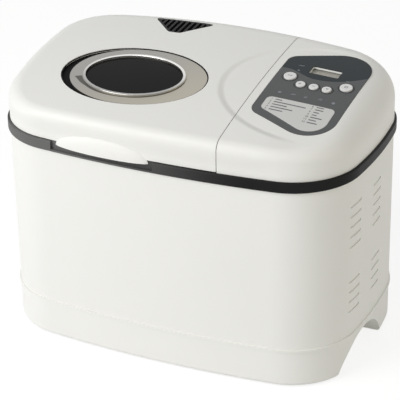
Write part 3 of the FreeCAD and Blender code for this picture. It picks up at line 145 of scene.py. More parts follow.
# Shallow dish round the control panel, in metres: its centre, half axes and depth
DISH_CENTRE = (0.123, -0.006)
DISH_HALF = (0.097, 0.080)
DISH_DEPTH = 0.0016

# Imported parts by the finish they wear
FINISH_OF_NODE = {
    "ivory_plastic": ("base_tray", "outer_casing", "lid_cover", "control_housing"),
    "dark_plastic": ("top_frame", "vent_grille"),
    "carrier_black": ("window_carrier",),
    "panel_plastic": ("control_panel",),
    "card_film": ("program_card",),
    "button_plastic": ("left_button", "right_button", "first_key", "second_key", "third_key"),
    "display_glass": ("display_lens",),
    "display_film": ("lcd_module",),
    "window_glass": ("window_glass",),
    "ring_steel": ("window_ring",),
    "steel": ("hinge_pins", "lid_screws", "case_screws", "element_clips", "temperature_probe",
              "chassis_plate", "drive_shaft", "paddle_shaft", "motor_core", "motor_rotor", "motor_bolts",
              "chamber_spacers", "pan_bail"),
    "chamber_steel": ("oven_chamber",),
    "liner_aluminium": ("lid_liner",),
    "pan_coating": ("bread_pan", "kneading_paddle"),
    "collar_aluminium": ("pan_collar", "pan_socket"),
    "element_steel": ("heating_element",),
    "ceramic": ("element_insulators",),
    "bush_bronze": ("shaft_bushes", "pan_bush"),
    "rubber": ("rubber_feet", "cord_gland", "drive_belt"),
    "seal_rubber": ("window_seal", "shaft_seal"),
    "board": ("control_board", "power_board"),
    "part_plastic": ("key_switches", "thermal_fuse", "capacitor", "terminal_block", "control_loom",
                     "cooling_fan"),
    "pulley_plastic": ("large_pulley", "motor_pulley"),
    "zinc_cast": ("bearing_housing", "drive_dog", "motor_caps"),
}


def crown(x, y, lift=0.0):
    """Height of the domed top: a circle of radius CROWN_ALONG over Y, carried round one of radius
    CROWN_ACROSS over X, and lifted along its own radius."""
    ring = CROWN_ACROSS - CROWN_ALONG + np.sqrt((CROWN_ALONG + lift) ** 2 - (y - CREST_Y) ** 2)
    return CROWN_TOP - CROWN_ACROSS + np.sqrt(ring ** 2 - x ** 2)


def on_crown(plan, lift):
    """Points of a plan, given as [..., 2], set on the domed top."""
    x, y = plan[..., 0], plan[..., 1]
    return np.stack((x, y, crown(x, y, lift)), -1)


def node_points(name):
    """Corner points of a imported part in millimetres."""
    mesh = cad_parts[name].data
    flat = np.empty(3 * len(mesh.vertices), np.float32)
    mesh.vertices.foreach_get("co", flat)
    return flat.reshape(-1, 3) / MM


def grid_faces(rows, columns, round_rows, round_columns, first):
    """Corner numbers of a grid's faces; a round direction closes on itself."""
    row = np.arange(rows if round_rows else rows - 1)[:, None]
    column = np.arange(columns if round_columns else columns - 1)[None, :]
    next_row = (row + 1) % rows
    next_column = (column + 1) % columns
    corners = (row * columns + column, row * columns + next_column,
               next_row * columns + next_column, next_row * columns + column)
    return first + np.stack(np.broadcast_arrays(*corners), -1).reshape(-1, 4)


def make_piece(name, grids, body, finish, smooth=False):
    """One piece in a named finish, made of grids in millimetres. Each grid is given as its points, in an
    array of rows, columns and axes, and whether its rows and its columns close on themselves."""
    points = []
    faces = []
    count = 0
    for grid, round_rows, round_columns in grids:
        rows, columns = grid.shape[:2]
        points.append(grid.reshape(-1, 3) * MM)
        faces.append(grid_faces(rows, columns, round_rows, round_columns, count))
        count += rows * columns
    mesh = bpy.data.meshes.new(name)
    mesh.from_pydata(np.concatenate(points).tolist(), [], np.concatenate(faces).tolist())
    mesh.validate()
    mesh.polygons.foreach_set("use_smooth", np.full(len(mesh.polygons), smooth))
    mesh.materials.append(FINISHES[finish].material)
    piece = bpy.data.objects.new(name, mesh)
    bpy.context.scene.collection.objects.link(piece)
    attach(piece, body)


def capped(section):
    """Closes both ends of a run of four-cornered sections by a row that has no height."""
    ends = section[[0, -1]][:, [0, 0, 3, 3]]
    return np.concatenate((ends[:1], section, ends[1:]))


def band(near, far, levels):
    """Sections of a flat band between two plan paths: rectangles between two levels over the dome."""
    low, high = levels
    return np.stack((on_crown(near, low), on_crown(near, high), on_crown(far, high), on_crown(far, low)), 1)


def strip(path, width, levels):
    """A printed strip with closed ends: a band between the paths that lie half a width to the left and to the
    right of a plan path, at right angles to its slope."""
    path = np.asarray(path, float)
    slope = np.gradient(path, axis=0)
    slope /= np.linalg.norm(slope, axis=1, keepdims=True)
    side = np.stack((-slope[:, 1], slope[:, 0]), 1) * width / 2
    return capped(band(path + side, path - side, levels)), False, True


def circle(count):
    """Points of a closed circle of radius one: the cosine and the sine of an even turn."""
    turn = np.linspace(0.0, ROUND, count)
    return np.stack((np.cos(turn), np.sin(turn)), 1)


class Value:
    """A socket of a node tree: arithmetic on it adds Math nodes."""

    def __init__(self, nodes, socket):
        self.nodes = nodes
        self.socket = socket

    def _math(self, operation, first, second):
        return self.nodes.node("ShaderNodeMath", {"operation": operation}, {0: first, 1: second})

    def __add__(self, other):
        return self._math("ADD", self, other)

    def __sub__(self, other):
        return self._math("SUBTRACT", self, other)

    def __mul__(self, other):
        return self._math("MULTIPLY", self, other)

    def __truediv__(self, other):
        return self._math("DIVIDE", self, other)

    def __pow__(self, other):
        return self._math("POWER", self, other)

    def __rsub__(self, other):
        return self._math("SUBTRACT", other, self)

    def __rtruediv__(self, other):
        return self._math("DIVIDE", other, self)

    __radd__ = __add__
    __rmul__ = __mul__


class Nodes:
    """A node tree under construction, with one method that adds any node."""

    def __init__(self, tree):
        self.tree = tree

    def node(self, kind, settings=None, sockets=None, output=0):
        """Adds a node: its settings are set first, then the values or links of its sockets."""
        made = self.tree.nodes.new(kind)
        for name, value in (settings or {}).items():
            setattr(made, name, value)
        for name, value in (sockets or {}).items():
            self.feed(made.inputs[name], value)
        return Value(self, made.outputs[output])

    def feed(self, socket, value):
        """Links a value to a socket, or sets the socket."""
        if isinstance(value, Value):
            self.tree.links.new(value.socket, socket)
        elif socket.type == "RGBA" and len(value) == 3:
            socket.default_value = (*value, 1.0)
        else:
            socket.default_value = value

    def seen(self):
        """One where the camera looks, straight or by way of metal or glass, and nought for other light."""
        names = ("Is Camera Ray", "Is Glossy Ray", "Is Transmission Ray")
        straight, metal, glass = (self.node("ShaderNodeLightPath", output=name) for name in names)
        return straight + metal + glass


class Finish(Nodes):
    """A material under construction: its shader, and the patterns that feed it."""

    def __init__(self, name, **sockets):
        self.name = name
        self.material = bpy.data.materials.new(name)
        self.material.use_nodes = True
        super().__init__(self.material.node_tree)
        self.shader = self.tree.nodes["Principled BSDF"]
        self.set(**sockets)

    def set(self, **sockets):
        """Feeds the shader's sockets, whose names are written with underscores."""
        for name, value in sockets.items():
            self.feed(self.shader.inputs[name.replace("_", " ")], value)

    def place(self):
        """Object coordinates of the shaded point, in metres."""
        return self.node("ShaderNodeTexCoord", output="Object")

    def axes(self):
        """The three object coordinates as values."""
        first = self.node("ShaderNodeSeparateXYZ", None, {0: self.place()})
        return [Value(self, socket) for socket in first.socket.node.outputs]

    def noise(self, scale, detail=3.0, stretch=(1.0, 1.0, 1.0)):
        """Cloudy noise, its scale in cycles to the metre, stretched along the axes."""
        place = self.node("ShaderNodeMapping", None, {"Vector": self.place(), "Scale": stretch})
        return self.node("ShaderNodeTexNoise", None, {"Vector": place, "Scale": scale, "Detail": detail})

    def step(self, value, low, high, at_low=0.0, at_high=1.0):
        """A smooth step of a value between two limits."""
        limits = {"Value": value, "From Min": low, "From Max": high, "To Min": at_low, "To Max": at_high}
        return self.node("ShaderNodeMapRange", {"interpolation_type": "SMOOTHSTEP"}, limits)

    def mix(self, factor, first, second):
        """A colour between two colours, which are the sockets 6 and 7 of a Mix node, with its result in 2."""
        return self.node("ShaderNodeMix", {"data_type": "RGBA"}, {"Factor": factor, 6: first, 7: second}, 2)

    def shades(self, factor, colour, start, end):
        """One colour, made darker or lighter by an amount that goes from a start to an end."""
        return self.mix(factor, shade(colour, start), shade(colour, end))

    def patchy(self, roughness, spread=0.12, scale=PATCH_SCALE):
        """A roughness that varies in patches by half a spread each way."""
        return self.noise(scale) * spread + (roughness - spread / 2)

    def bump(self, height, depth, under=None):
        """A normal bent by a height, over another bent normal where there is one."""
        sockets = {"Height": height, "Distance": depth}
        if under is not None:
            sockets["Normal"] = under
        return self.node("ShaderNodeBump", None, sockets)

    def grain(self, scale, depth):
        """A normal bent by the fine grain of a moulding."""
        return self.bump(self.noise(scale, 2.0), depth)


def shade(colour, factor):
    """A colour made darker or lighter by a factor."""
    return tuple(min(1.0, channel * factor) for channel in colour)


def moulded(name, colour, roughness, grain, depth, mottle):
    """Moulded plastic: a fine grain, a faint cloudiness of its colour and patches of duller gloss."""
    finish = Finish(name)
    cloud = finish.noise(CLOUD_SCALE)
    finish.set(Base_Color=finish.shades(cloud, colour, 1.0 - mottle, 1.0 + mottle),
               Roughness=finish.patchy(roughness), Normal=finish.grain(grain, depth))
    return finish


def drawn(name, roughness, along, depth=0.00003):
    """Drawn metal without a colour, and its fine lines: noise drawn out along one axis."""
    finish = Finish(name, Metallic=1.0)
    stretch = tuple(LINE_STRETCH if axis == along else 1.0 for axis in range(3))
    lines = finish.noise(LINE_SCALE, 2.0, stretch)
    finish.set(Roughness=lines * 0.16 + (roughness - 0.08), Normal=finish.bump(lines, depth))
    return finish, lines


def brushed(name, colour, roughness, along):
    """Brushed metal: drawn metal whose colour follows its lines and a cloudiness in equal shares."""
    finish, lines = drawn(name, roughness, along)
    cloud = finish.noise(25.0)
    finish.set(Base_Color=finish.shades(lines * 0.5 + cloud * 0.5, colour, 0.86, 1.12))
    return finish


def cast(name, colour, roughness, grain, metallic=1.0):
    """Cast or coated metal: rounded grains, with darker hollows between them."""
    finish = Finish(name, Metallic=metallic)
    grains = finish.noise(grain, 4.0)
    finish.set(Base_Color=finish.shades(grains, colour, 0.8, 1.2),
               Roughness=grains * 0.2 + (roughness - 0.1), Normal=finish.bump(grains, 0.00015))
    return finish


def speckled(name, colour, fleck, roughness, scale):
    """A coating with small light flecks, which are the hearts of some of its cells."""
    finish = Finish(name)
    cells = finish.node("ShaderNodeTexVoronoi", {"feature": "F1"}, {"Vector": finish.place(), "Scale": scale})
    flecks = finish.step(cells, 0.08, 0.2, 1.0, 0.0) * finish.step(finish.noise(scale / 3), 0.5, 0.6)
    finish.set(Base_Color=finish.mix(flecks, colour, fleck), Roughness=finish.patchy(roughness, 0.14, 90.0),
               Normal=finish.bump(finish.noise(scale), 0.00008))
    return finish


def ivory_plastic(look):
    """Ivory moulding with a shallow dish round the control panel, which crosses the seam and fades to the
    right: a smooth step at the edge of an ellipse, on the domed top only."""
    finish = Finish("ivory_plastic")
    x, y, z = finish.axes()
    across = (x - DISH_CENTRE[0]) / DISH_HALF[0]
    deep = (y - DISH_CENTRE[1]) / DISH_HALF[1]
    edge = finish.step((across * across + deep * deep) ** 0.5, 0.93, 1.01)
    dish = edge * finish.step(z, 0.215, 0.23) * finish.step(x, 0.1, 0.135, 1.0, 0.0)
    finish.set(Base_Color=finish.shades(finish.noise(CLOUD_SCALE), look.ivory, 0.988, 1.012),
               Roughness=finish.patchy(0.46),
               Normal=finish.bump(dish, DISH_DEPTH, finish.grain(2400.0, 0.00001)))
    return finish


def dark_plastic(look):
    """Dark moulding with a painted sheen: a dull grey towards the front left, and nearly black at the right.
    """
    finish = Finish("dark_plastic", Specular_IOR_Level=0.08)
    x, y = finish.axes()[:2]
    # Painted sheen: black turns to a dull grey towards the front left; a tenth of the tone is a random cloud
    painted_sheen = finish.step(x, -0.1, 0.1, 1.0, 0.0) * finish.step(y, -0.1, -0.06, 1.0, 0.0)
    painted_light_tone = painted_sheen * 0.9 + finish.noise(CLOUD_SCALE) * 0.1
    finish.set(Base_Color=finish.mix(painted_light_tone, look.band, look.band_sheen), Roughness=finish.patchy(0.42),
               Normal=finish.grain(3000.0, 0.00003))
    return finish


def carrier_black(look):
    """Matt black moulding with a fine grain."""
    finish = moulded("carrier_black", look.band, 0.6, 3000.0, 0.00003, 0.08)
    finish.set(Specular_IOR_Level=0.05)
    return finish


def ring_steel(look):
    """Satin steel with fine lines and a painted reflection: cool at the left, warmer and lighter at the right
    and the front.
    """
    finish, lines = drawn("ring_steel", 0.34, 0)
    x, y = finish.axes()[:2]
    # Painted reflection: the ring turns lighter and warmer towards the right and the front
    painted_reflection = finish.step(x - y, -0.08, 0.08) * 0.85 + lines * 0.15
    finish.set(Base_Color=finish.mix(painted_reflection, look.ring, look.ring_reflection))
    return finish


def bead_steel(look):
    """Polished steel with very fine lines and a painted reflection: brighter at the back than at the front.
    """
    finish = drawn("bead_steel", 0.2, 0, 0.000003)[0]
    # Painted reflection: the bead darkens towards the front, with a little noise
    front = finish.step(finish.axes()[1], -0.055, 0.0, 0.75, 0.0) + finish.noise(80.0) * 0.2
    finish.set(Base_Color=finish.shades(front, look.bead, 1.0, 0.35))
    return finish


def panel_plastic(look):
    """Printed film: a darker field at the back, which ends in a sweep below the display, and a pale sliver of
    painted highlight.
    The sweep is a parabola to the right of its lowest place and a smooth step to the left of it."""
    finish = Finish("panel_plastic", Specular_IOR_Level=0.15)
    x, y = finish.axes()[:2]
    lowest_x, lowest_y = 0.110, 0.0127
    swing = (x - lowest_x) / 0.039
    parabola = swing * swing * 0.018
    left_rise = finish.step(x, 0.077, 0.107, 0.0098, 0.0)
    right = finish.step(x, lowest_x, lowest_x + 0.0001)
    above = y - (right * parabola + (1 - right) * left_rise + lowest_y)
    field = finish.step(above, -0.0003, 0.0003)
    # Painted highlight: a pale sliver just below the field's edge, at the right
    sliver = (finish.step(above, -0.0046, -0.0040) - field) * finish.step(x, 0.136, 0.146)
    cloud = finish.noise(900.0, 2.0)
    front, back = (finish.shades(cloud, colour, 0.93, 1.07) for colour in (look.panel_low, look.panel_high))
    finish.set(Base_Color=finish.mix(sliver * 0.5, finish.mix(field, front, back), look.panel_highlight),
               Roughness=cloud * 0.1 + 0.42, Normal=finish.grain(1800.0, 0.00001))
    return finish


def card_film(look):
    """Matt pale film with a hint of paper tooth."""
    finish = Finish("card_film")
    tooth = finish.noise(1500.0, 4.0)
    finish.set(Base_Color=finish.shades(tooth, look.card, 0.97, 1.02), Roughness=tooth * 0.1 + 0.5,
               Normal=finish.bump(tooth, 0.00001))
    return finish


def window_glass(look):
    """Dark tinted glass: nearly black, smooth, with faint smears that dull its gloss."""
    finish = Finish("window_glass", Specular_IOR_Level=0.05)
    smears = finish.noise(30.0, 4.0)
    finish.set(Base_Color=finish.shades(smears, look.glass, 0.9, 1.15), Roughness=smears * 0.08 + 0.08)
    return finish


def display_glass():
    """Clear lens: mostly see-through, with a thin gloss."""
    finish = Finish("display_glass", Specular_IOR_Level=0.4, Base_Color=(0.9, 0.9, 0.86))
    smears = finish.noise(120.0)
    finish.set(Alpha=smears * 0.04 + 0.06, Roughness=smears * 0.06 + 0.04)
    return finish


def display_film(look):
    """Grey liquid crystal film with painted shade, darker towards the back, and a faint dot grid."""
    finish = Finish("display_film")
    dots = finish.node("ShaderNodeTexChecker", None, {"Vector": finish.place(), "Scale": 1600.0}, "Fac")
    # Painted shade: the film darkens towards the back
    painted_light_tone = finish.shades(finish.step(finish.axes()[1], 0.018, 0.038), look.display, 1.1, 0.8)
    finish.set(Base_Color=finish.mix(dots * 0.06, painted_light_tone, shade(look.display, 0.6)),
               Roughness=finish.patchy(0.4, 0.1, 200.0))
    return finish


def circuit_board():
    """Green board with copper runs under the lacquer."""
    finish = Finish("board")
    runs = finish.node("ShaderNodeTexBrick", {"offset": 0.5}, {
        "Vector": finish.place(), "Scale": 120.0, "Mortar Size": 0.06, "Color1": (0.02, 0.12, 0.05),
        "Color2": (0.025, 0.15, 0.06), "Mortar": (0.10, 0.26, 0.10)})
    finish.set(Base_Color=runs, Roughness=finish.patchy(0.4, 0.2, 200.0),
               Normal=finish.bump(finish.noise(500.0), 0.00005))
    return finish


def make_finishes(look):
    """Every finish by its name."""
    made = [finish(look) for finish in (ivory_plastic, dark_plastic, carrier_black, ring_steel, bead_steel,
                                        panel_plastic, card_film, window_glass, display_film)]
    made += [display_glass(), circuit_board()]
    # Name, colour, roughness, scale and depth of the grain, mottle of the colour
    made += [moulded(*row) for row in (
        ("button_plastic", look.keys, 0.34, 2600.0, 0.00001, 0.02),
        ("rubber", (0.022, 0.022, 0.023), 0.72, 900.0, 0.0001, 0.2),
        ("seal_rubber", (0.27, 0.07, 0.04), 0.6, 900.0, 0.00006, 0.1),
        ("part_plastic", (0.035, 0.035, 0.04), 0.45, 1500.0, 0.00003, 0.1),
        ("pulley_plastic", (0.62, 0.6, 0.54), 0.45, 1500.0, 0.00003, 0.04),
        # Painted shade in the seam between lid and control housing
        ("seam_shade_grey", look.seam, 0.6, 1500.0, 0.00001, 0.05),
        ("print_dark", look.ink, 0.5, 1500.0, 0.000005, 0.1),
        ("print_pale", look.marks, 0.5, 1500.0, 0.000005, 0.1),
        # Painted shadow in a ring round each key, in the band's black
        ("painted_key_shadow", look.band, 0.6, 1500.0, 0.000005, 0.1),
        ("print_key", look.key_marks, 0.5, 1500.0, 0.000005, 0.1),
    )]
    # Name, colour, roughness, axis of the lines
    made += [brushed(*row) for row in (
        # Painted shade: the dark colour of the step outside the bead
        ("step_shade_steel", (0.11, 0.108, 0.1), 0.4, 0),
        ("steel", (0.55, 0.55, 0.56), 0.32, 2),
        ("liner_aluminium", (0.66, 0.66, 0.67), 0.36, 0),
    )]
    # Name, colour, roughness, scale of the grains, and how far it is metal where it isn't wholly so
    made += [cast(*row) for row in (
        ("collar_aluminium", (0.6, 0.6, 0.61), 0.42, 600.0),
        ("element_steel", (0.16, 0.145, 0.13), 0.45, 300.0),
        ("ceramic", (0.72, 0.69, 0.62), 0.7, 900.0, 0.0),
        ("bush_bronze", (0.5, 0.33, 0.13), 0.4, 1200.0),
        ("zinc_cast", (0.5, 0.5, 0.51), 0.45, 500.0),
    )]
    # Name, colour, colour of the flecks, roughness, scale of the cells
    made += [speckled(*row) for row in (
        ("chamber_steel", (0.22, 0.22, 0.23), (0.4, 0.4, 0.41), 0.45, 500.0),
        ("pan_coating", (0.035, 0.035, 0.037), (0.16, 0.16, 0.16), 0.42, 700.0),
    )]
    return {finish.name: finish for finish in made}


# Finishes by name, filled by the operator that makes them
FINISHES = {}

# Strokes of the digits, in a field one wide and two high
DIGITS = {
    "0": ((0.1, 0.0), (0.9, 0.0), (1.0, 1.0), (0.9, 2.0), (0.1, 2.0), (0.0, 1.0), (0.1, 0.0)),
    "1": ((0.6, 0.0), (0.6, 2.0), (0.2, 1.6)),
    "2": ((1.0, 0.0), (0.0, 0.0), (0.9, 1.2), (0.8, 1.9), (0.3, 2.0), (0.0, 1.6)),
    "3": ((0.0, 0.2), (0.5, 0.0), (1.0, 0.5), (0.5, 1.1), (0.9, 1.6), (0.5, 2.0), (0.0, 1.8)),
    "4": ((0.8, 0.0), (0.8, 2.0), (0.0, 0.6), (1.0, 0.6)),
    "5": ((0.0, 0.1), (0.7, 0.0), (1.0, 0.6), (0.7, 1.1), (0.1, 1.1), (0.1, 2.0), (0.9, 2.0)),
    "6": ((0.8, 2.0), (0.1, 1.1), (0.1, 0.2), (0.6, 0.0), (1.0, 0.5), (0.6, 1.0), (0.1, 0.8)),
    "7": ((0.0, 2.0), (1.0, 2.0), (0.3, 0.0)),
    "8": ((0.5, 1.1), (0.0, 0.5), (0.5, 0.0), (1.0, 0.5), (0.5, 1.1), (0.1, 1.6), (0.5, 2.0), (0.9, 1.6),
          (0.5, 1.1)),
    "9": ((0.2, 0.0), (0.9, 0.9), (0.9, 1.8), (0.4, 2.0), (0.0, 1.5), (0.4, 1.0), (0.9, 1.2)),
}


class BreadMachineLook(bpy.types.PropertyGroup):
    """Colours of the finishes."""

    ivory: bpy.props.FloatVectorProperty(
        name="Ivory", description="Casing, base, lid and control housing", subtype="COLOR",
        default=(0.872, 0.872, 0.845))
    band: bpy.props.FloatVectorProperty(
        name="Band", description="Dark band, grille and window carrier", subtype="COLOR",
        default=(0.006, 0.006, 0.0065))
    # Painted sheen: the dull grey of the band at the front left
    band_sheen: bpy.props.FloatVectorProperty(
        name="Band sheen", description="Dull grey of the band at the front left", subtype="COLOR",
        default=(0.15, 0.15, 0.149))
    bead: bpy.props.FloatVectorProperty(
        name="Bead", description="Polished bead round the window", subtype="COLOR", default=(0.9, 0.89, 0.87))
    # Painted shade: grey of the shaded seam between lid and control housing
    seam: bpy.props.FloatVectorProperty(
        name="Seam", description="Bottom of the seam between lid and control housing", subtype="COLOR",
        default=(0.30, 0.29, 0.26))
    panel_low: bpy.props.FloatVectorProperty(
        name="Panel front", description="Front field of the control panel", subtype="COLOR",
        default=(0.108, 0.112, 0.115))
    panel_high: bpy.props.FloatVectorProperty(
        name="Panel back", description="Back field of the control panel", subtype="COLOR",
        default=(0.025, 0.031, 0.035))
    # Painted highlight: the pale sliver at the right of the panel
    panel_highlight: bpy.props.FloatVectorProperty(
        name="Panel highlight", description="Pale sliver at the right of the panel", subtype="COLOR",
        default=(0.11, 0.12, 0.13))
    card: bpy.props.FloatVectorProperty(
        name="Card", description="Printed card of the programs", subtype="COLOR", default=(0.66, 0.66, 0.65))
    keys: bpy.props.FloatVectorProperty(
        name="Keys", description="Push buttons", subtype="COLOR", default=(0.80, 0.80, 0.80))
    display: bpy.props.FloatVectorProperty(
        name="Display", description="Film of the display", subtype="COLOR", default=(0.50, 0.48, 0.42))
    glass: bpy.props.FloatVectorProperty(
        name="Glass", description="Tinted glass of the window", subtype="COLOR",
        default=(0.008, 0.008, 0.008))
    ring: bpy.props.FloatVectorProperty(
        name="Ring", description="Satin ring of the window", subtype="COLOR", default=(0.34, 0.332, 0.315))
    # Painted reflection: the lighter, warmer colour at the right of the ring
    ring_reflection: bpy.props.FloatVectorProperty(
        name="Ring reflection", description="Lighter satin at the right of the ring", subtype="COLOR",
        default=(0.45, 0.42, 0.35))
    ink: bpy.props.FloatVectorProperty(
        name="Ink", description="Rows printed on the card", subtype="COLOR", default=(0.12, 0.12, 0.125))
    marks: bpy.props.FloatVectorProperty(
        name="Marks", description="Signs printed on the panel", subtype="COLOR", default=(0.27, 0.29, 0.32))
    key_marks: bpy.props.FloatVectorProperty(
        name="Key marks", description="Signs printed on the buttons", subtype="COLOR",
        default=(0.2, 0.2, 0.21))


class BreadMachinePrint(bpy.types.PropertyGroup):
    """Sizes of the prints."""

    digit_height: bpy.props.FloatProperty(
        name="Digit height", description="Height of the numbers on the card", unit="LENGTH", default=0.0021)
    digit_stroke: bpy.props.FloatProperty(
        name="Digit stroke", description="Width of a number's strokes", unit="LENGTH", default=0.0004)
    row_height: bpy.props.FloatProperty(
        name="Row height", description="Height of the bars on the card", unit="LENGTH", default=0.0013)
    sign_stroke: bpy.props.FloatProperty(
        name="Sign stroke", description="Width of the strokes of a sign", unit="LENGTH", default=0.0006)
    # Width of the ring of painted shadow round a key
    key_shadow_width: bpy.props.FloatProperty(
        name="Key shadow width", description="Width of the dark ring round a key", unit="LENGTH", default=0.0009)


class BreadMachineStage(bpy.types.PropertyGroup):
    """Camera and light."""

    camera_place: bpy.props.FloatVectorProperty(
        name="Camera place", description="Where the camera stands", subtype="TRANSLATION", unit="LENGTH",
        default=(0.648213, -1.402888, 0.918225))
    camera_turn: bpy.props.FloatVectorProperty(
        name="Camera turn", description="How the camera is turned", subtype="EULER", unit="ROTATION",
        default=(math.radians(62.65754), math.radians(0.93795), math.radians(24.41246)))
    camera_lens: bpy.props.FloatProperty(
        name="Lens", description="Focal length on a sensor of 36 mm", default=164.39)
    key_light: bpy.props.FloatProperty(
        name="Key light", description="Power of the lamp at the front left", unit="POWER", default=40.0)
    side_light: bpy.props.FloatProperty(
        name="Side light", description="Power of the warm lamp at the right", unit="POWER", default=5.0)
    room_light: bpy.props.FloatProperty(
        name="Room light", description="Strength of the even light from all round", default=0.42)


class BREAD_OT_finishes(bpy.types.Operator):
    """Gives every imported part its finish"""

    bl_idname = "bread.finishes"
    bl_label = "Finishes"

    def execute(self, context):
        FINISHES.update(make_finishes(context.scene.bread_look))
        for slot, nodes in FINISH_OF_NODE.items():
            for node in nodes:
                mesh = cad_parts[node].data
                mesh.materials.clear()
                mesh.materials.append(FINISHES[slot].material)
        bare = set(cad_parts) - {node for nodes in FINISH_OF_NODE.values() for node in nodes}
        if bare:
            raise RuntimeError(f"parts without a finish: {sorted(bare)}")
        return {"FINISHED"}


class BREAD_OT_window_trim(bpy.types.Operator):
    """Lays the polished bead round the glass, the dark hem in the hole and the dark step outside the bead,
    both painted shade
    """

    bl_idname = "bread.window_trim"
    bl_label = "Window trim"

    def execute(self, context):
        self.make_bead()
        self.make_hem()
        self.make_step()
        return {"FINISHED"}

    def oval(self, turn, out):
        """Plan points of an oval: the cosine and the sine of some angles, times the half axes of the glass,
        each made longer by a distance."""
        return np.stack((WINDOW[0] + (GLASS_HALF[0] + out[0]) * np.cos(turn),
                         WINDOW[1] + (GLASS_HALF[1] + out[1]) * np.sin(turn)), -1)

    def make_bead(self):
        """The bead: an arch carried round the glass. Over half a turn it goes outwards with one less the
        cosine, and it rises with the sine."""
        turn = np.linspace(0.0, ROUND, OVAL_POINTS, endpoint=False)[:, None]
        arch = np.linspace(0.0, math.pi, BEAD_POINTS)[None, :]
        out = (1 - np.cos(arch)) * BEAD_HALF
        bead = on_crown(self.oval(turn, (out, out)), BEAD_FOOT + BEAD_RISE * np.sin(arch))
        make_piece("ring_bead", [(bead, True, True)], "lid", "bead_steel", True)

    def make_hem(self):
        """The hem: a flat band in the carrier's black, painted shadow along the hole's edge, between two
        ovals just inside the hole, closed on itself.
        """
        turn = np.linspace(0.0, ROUND, OVAL_POINTS, endpoint=False)
        rim = HOLE_HALF - GLASS_HALF
        near = self.oval(turn, rim - HEM_INNER)
        far = self.oval(turn, rim - HEM_OUTER)
        grid = band(near, far, HEM_LEVELS)
        make_piece("window_hem_shadow", [(grid, True, True)], "lid", "carrier_black")

    def make_step(self):
        """The step: a flat band of painted shade outside the bead, whose width runs straight between the
        listed ones.
        """
        angles, widths = zip(*STEP_WIDTHS)
        degrees = np.linspace(angles[0], angles[-1], STEP_POINTS)
        turn = np.radians(degrees)
        inner = 2 * BEAD_HALF
        outer = inner + np.interp(degrees, angles, widths)
        near = self.oval(turn, (inner, inner))
        far = self.oval(turn, (outer, outer))
        grid = capped(band(near, far, STEP_LEVELS))
        make_piece("ring_step_shade", [(grid, False, True)], "lid", "step_shade_steel")


class BREAD_OT_vent_slats(bpy.types.Operator):
    """Sets a sheet in the right wall, which closes the vents to shallow grooves"""

    bl_idname = "bread.vent_slats"
    bl_label = "Vent slats"

    def execute(self, context):
        y = np.linspace(VENT_FRONT, VENT_BACK, SLAT_POINTS)
        y = np.concatenate((y, y[::-1]))
        middle = (SLAT_OUTER + SLAT_INNER) / 2
        rows = []
        for z, outer, inner in ((VENT_LOW, middle, middle), (VENT_LOW, SLAT_OUTER, SLAT_INNER),
                                (VENT_HIGH, SLAT_OUTER, SLAT_INNER), (VENT_HIGH, middle, middle)):
            x = self.wall(y, np.repeat((outer, inner), SLAT_POINTS))
            rows.append(np.stack((x, y, np.full_like(y, z)), -1))
        make_piece("vent_slats", [(np.stack(rows), False, True)], "housing", "ivory_plastic")
        return {"FINISHED"}

    def wall(self, y, inset):
        """X of the right wall under an inset: the circle of the bowed side, or the circle of the front corner
        before the place where the line through both centres meets them."""
        side = HALF_WIDTH - SIDE_ARC + np.sqrt((SIDE_ARC - inset) ** 2 - y ** 2)
        corner = CORNER[0] + np.sqrt((CORNER_RADIUS - inset) ** 2 - (y - CORNER[1]) ** 2)
        bend = CORNER[1] * (SIDE_ARC - inset) / (SIDE_ARC - CORNER_RADIUS)
        return np.where(y < bend, corner, side)


class BREAD_OT_seam_strip(bpy.types.Operator):
    """Sets a grey strip of painted shade in the seam between the lid and the control housing, just below the
    surface
    """

    bl_idname = "bread.seam_strip"
    bl_label = "Seam strip"

    def execute(self, context):
        """The strip is a rectangle carried along the top edge of the housing's wall at the seam. The points
        of that edge are put in order by their angle about a point below it, and the strip's faces lie two
        depths under them, towards that point."""
        housing = node_points("control_housing")
        left = node_points("lid_cover")[:, 0].max() + SEAM_GAP
        right = housing[:, 0].min() - SEAM_GAP
        edge = np.unique(housing[housing[:, 0] < right + SEAM_NEAR][:, 1:], axis=0)
        edge = edge[edge[:, 1] > SEAM_FOOT]
        outward = edge - SEAM_CENTRE
        order = np.argsort(-np.arctan2(outward[:, 1], outward[:, 0]))
        edge, outward = edge[order], outward[order]
        outward /= np.linalg.norm(outward, axis=1, keepdims=True)
        high, low = (edge - outward * depth for depth in SEAM_DEPTHS)
        corners = ((left, low), (left, high), (right, high), (right, low))
        section = np.stack([np.insert(side, 0, x, axis=1) for x, side in corners], 1)
        grid = capped(section[::-1])
        make_piece("seam_strip", [(grid, False, True)], "housing", "seam_shade_grey")
        return {"FINISHED"}


class BREAD_OT_card_print(bpy.types.Operator):
    """Prints two columns of numbered rows on the card"""

    bl_idname = "bread.card_print"
    bl_label = "Card print"

    def execute(self, context):
        sizes = context.scene.bread_print
        tall = sizes.digit_height / MM
        grids = []
        for number_x, bar_x, first, rows in CARD_COLUMNS:
            for i, (y, end) in enumerate(rows):
                bar = np.linspace((bar_x, y), (end, y), BAR_POINTS)
                grids.append(strip(bar, sizes.row_height / MM, CARD_LEVELS))
                text = str(first + i)
                for place, digit in enumerate(text):
                    shift = (place - len(text) / 2) * DIGIT_PITCH * tall
                    stroke = np.array(DIGITS[digit]) * tall / 2 + (number_x + shift, y - tall / 2)
                    grids.append(strip(stroke, sizes.digit_stroke / MM, CARD_LEVELS))
        make_piece("card_print", grids, "housing", "print_dark")
        return {"FINISHED"}


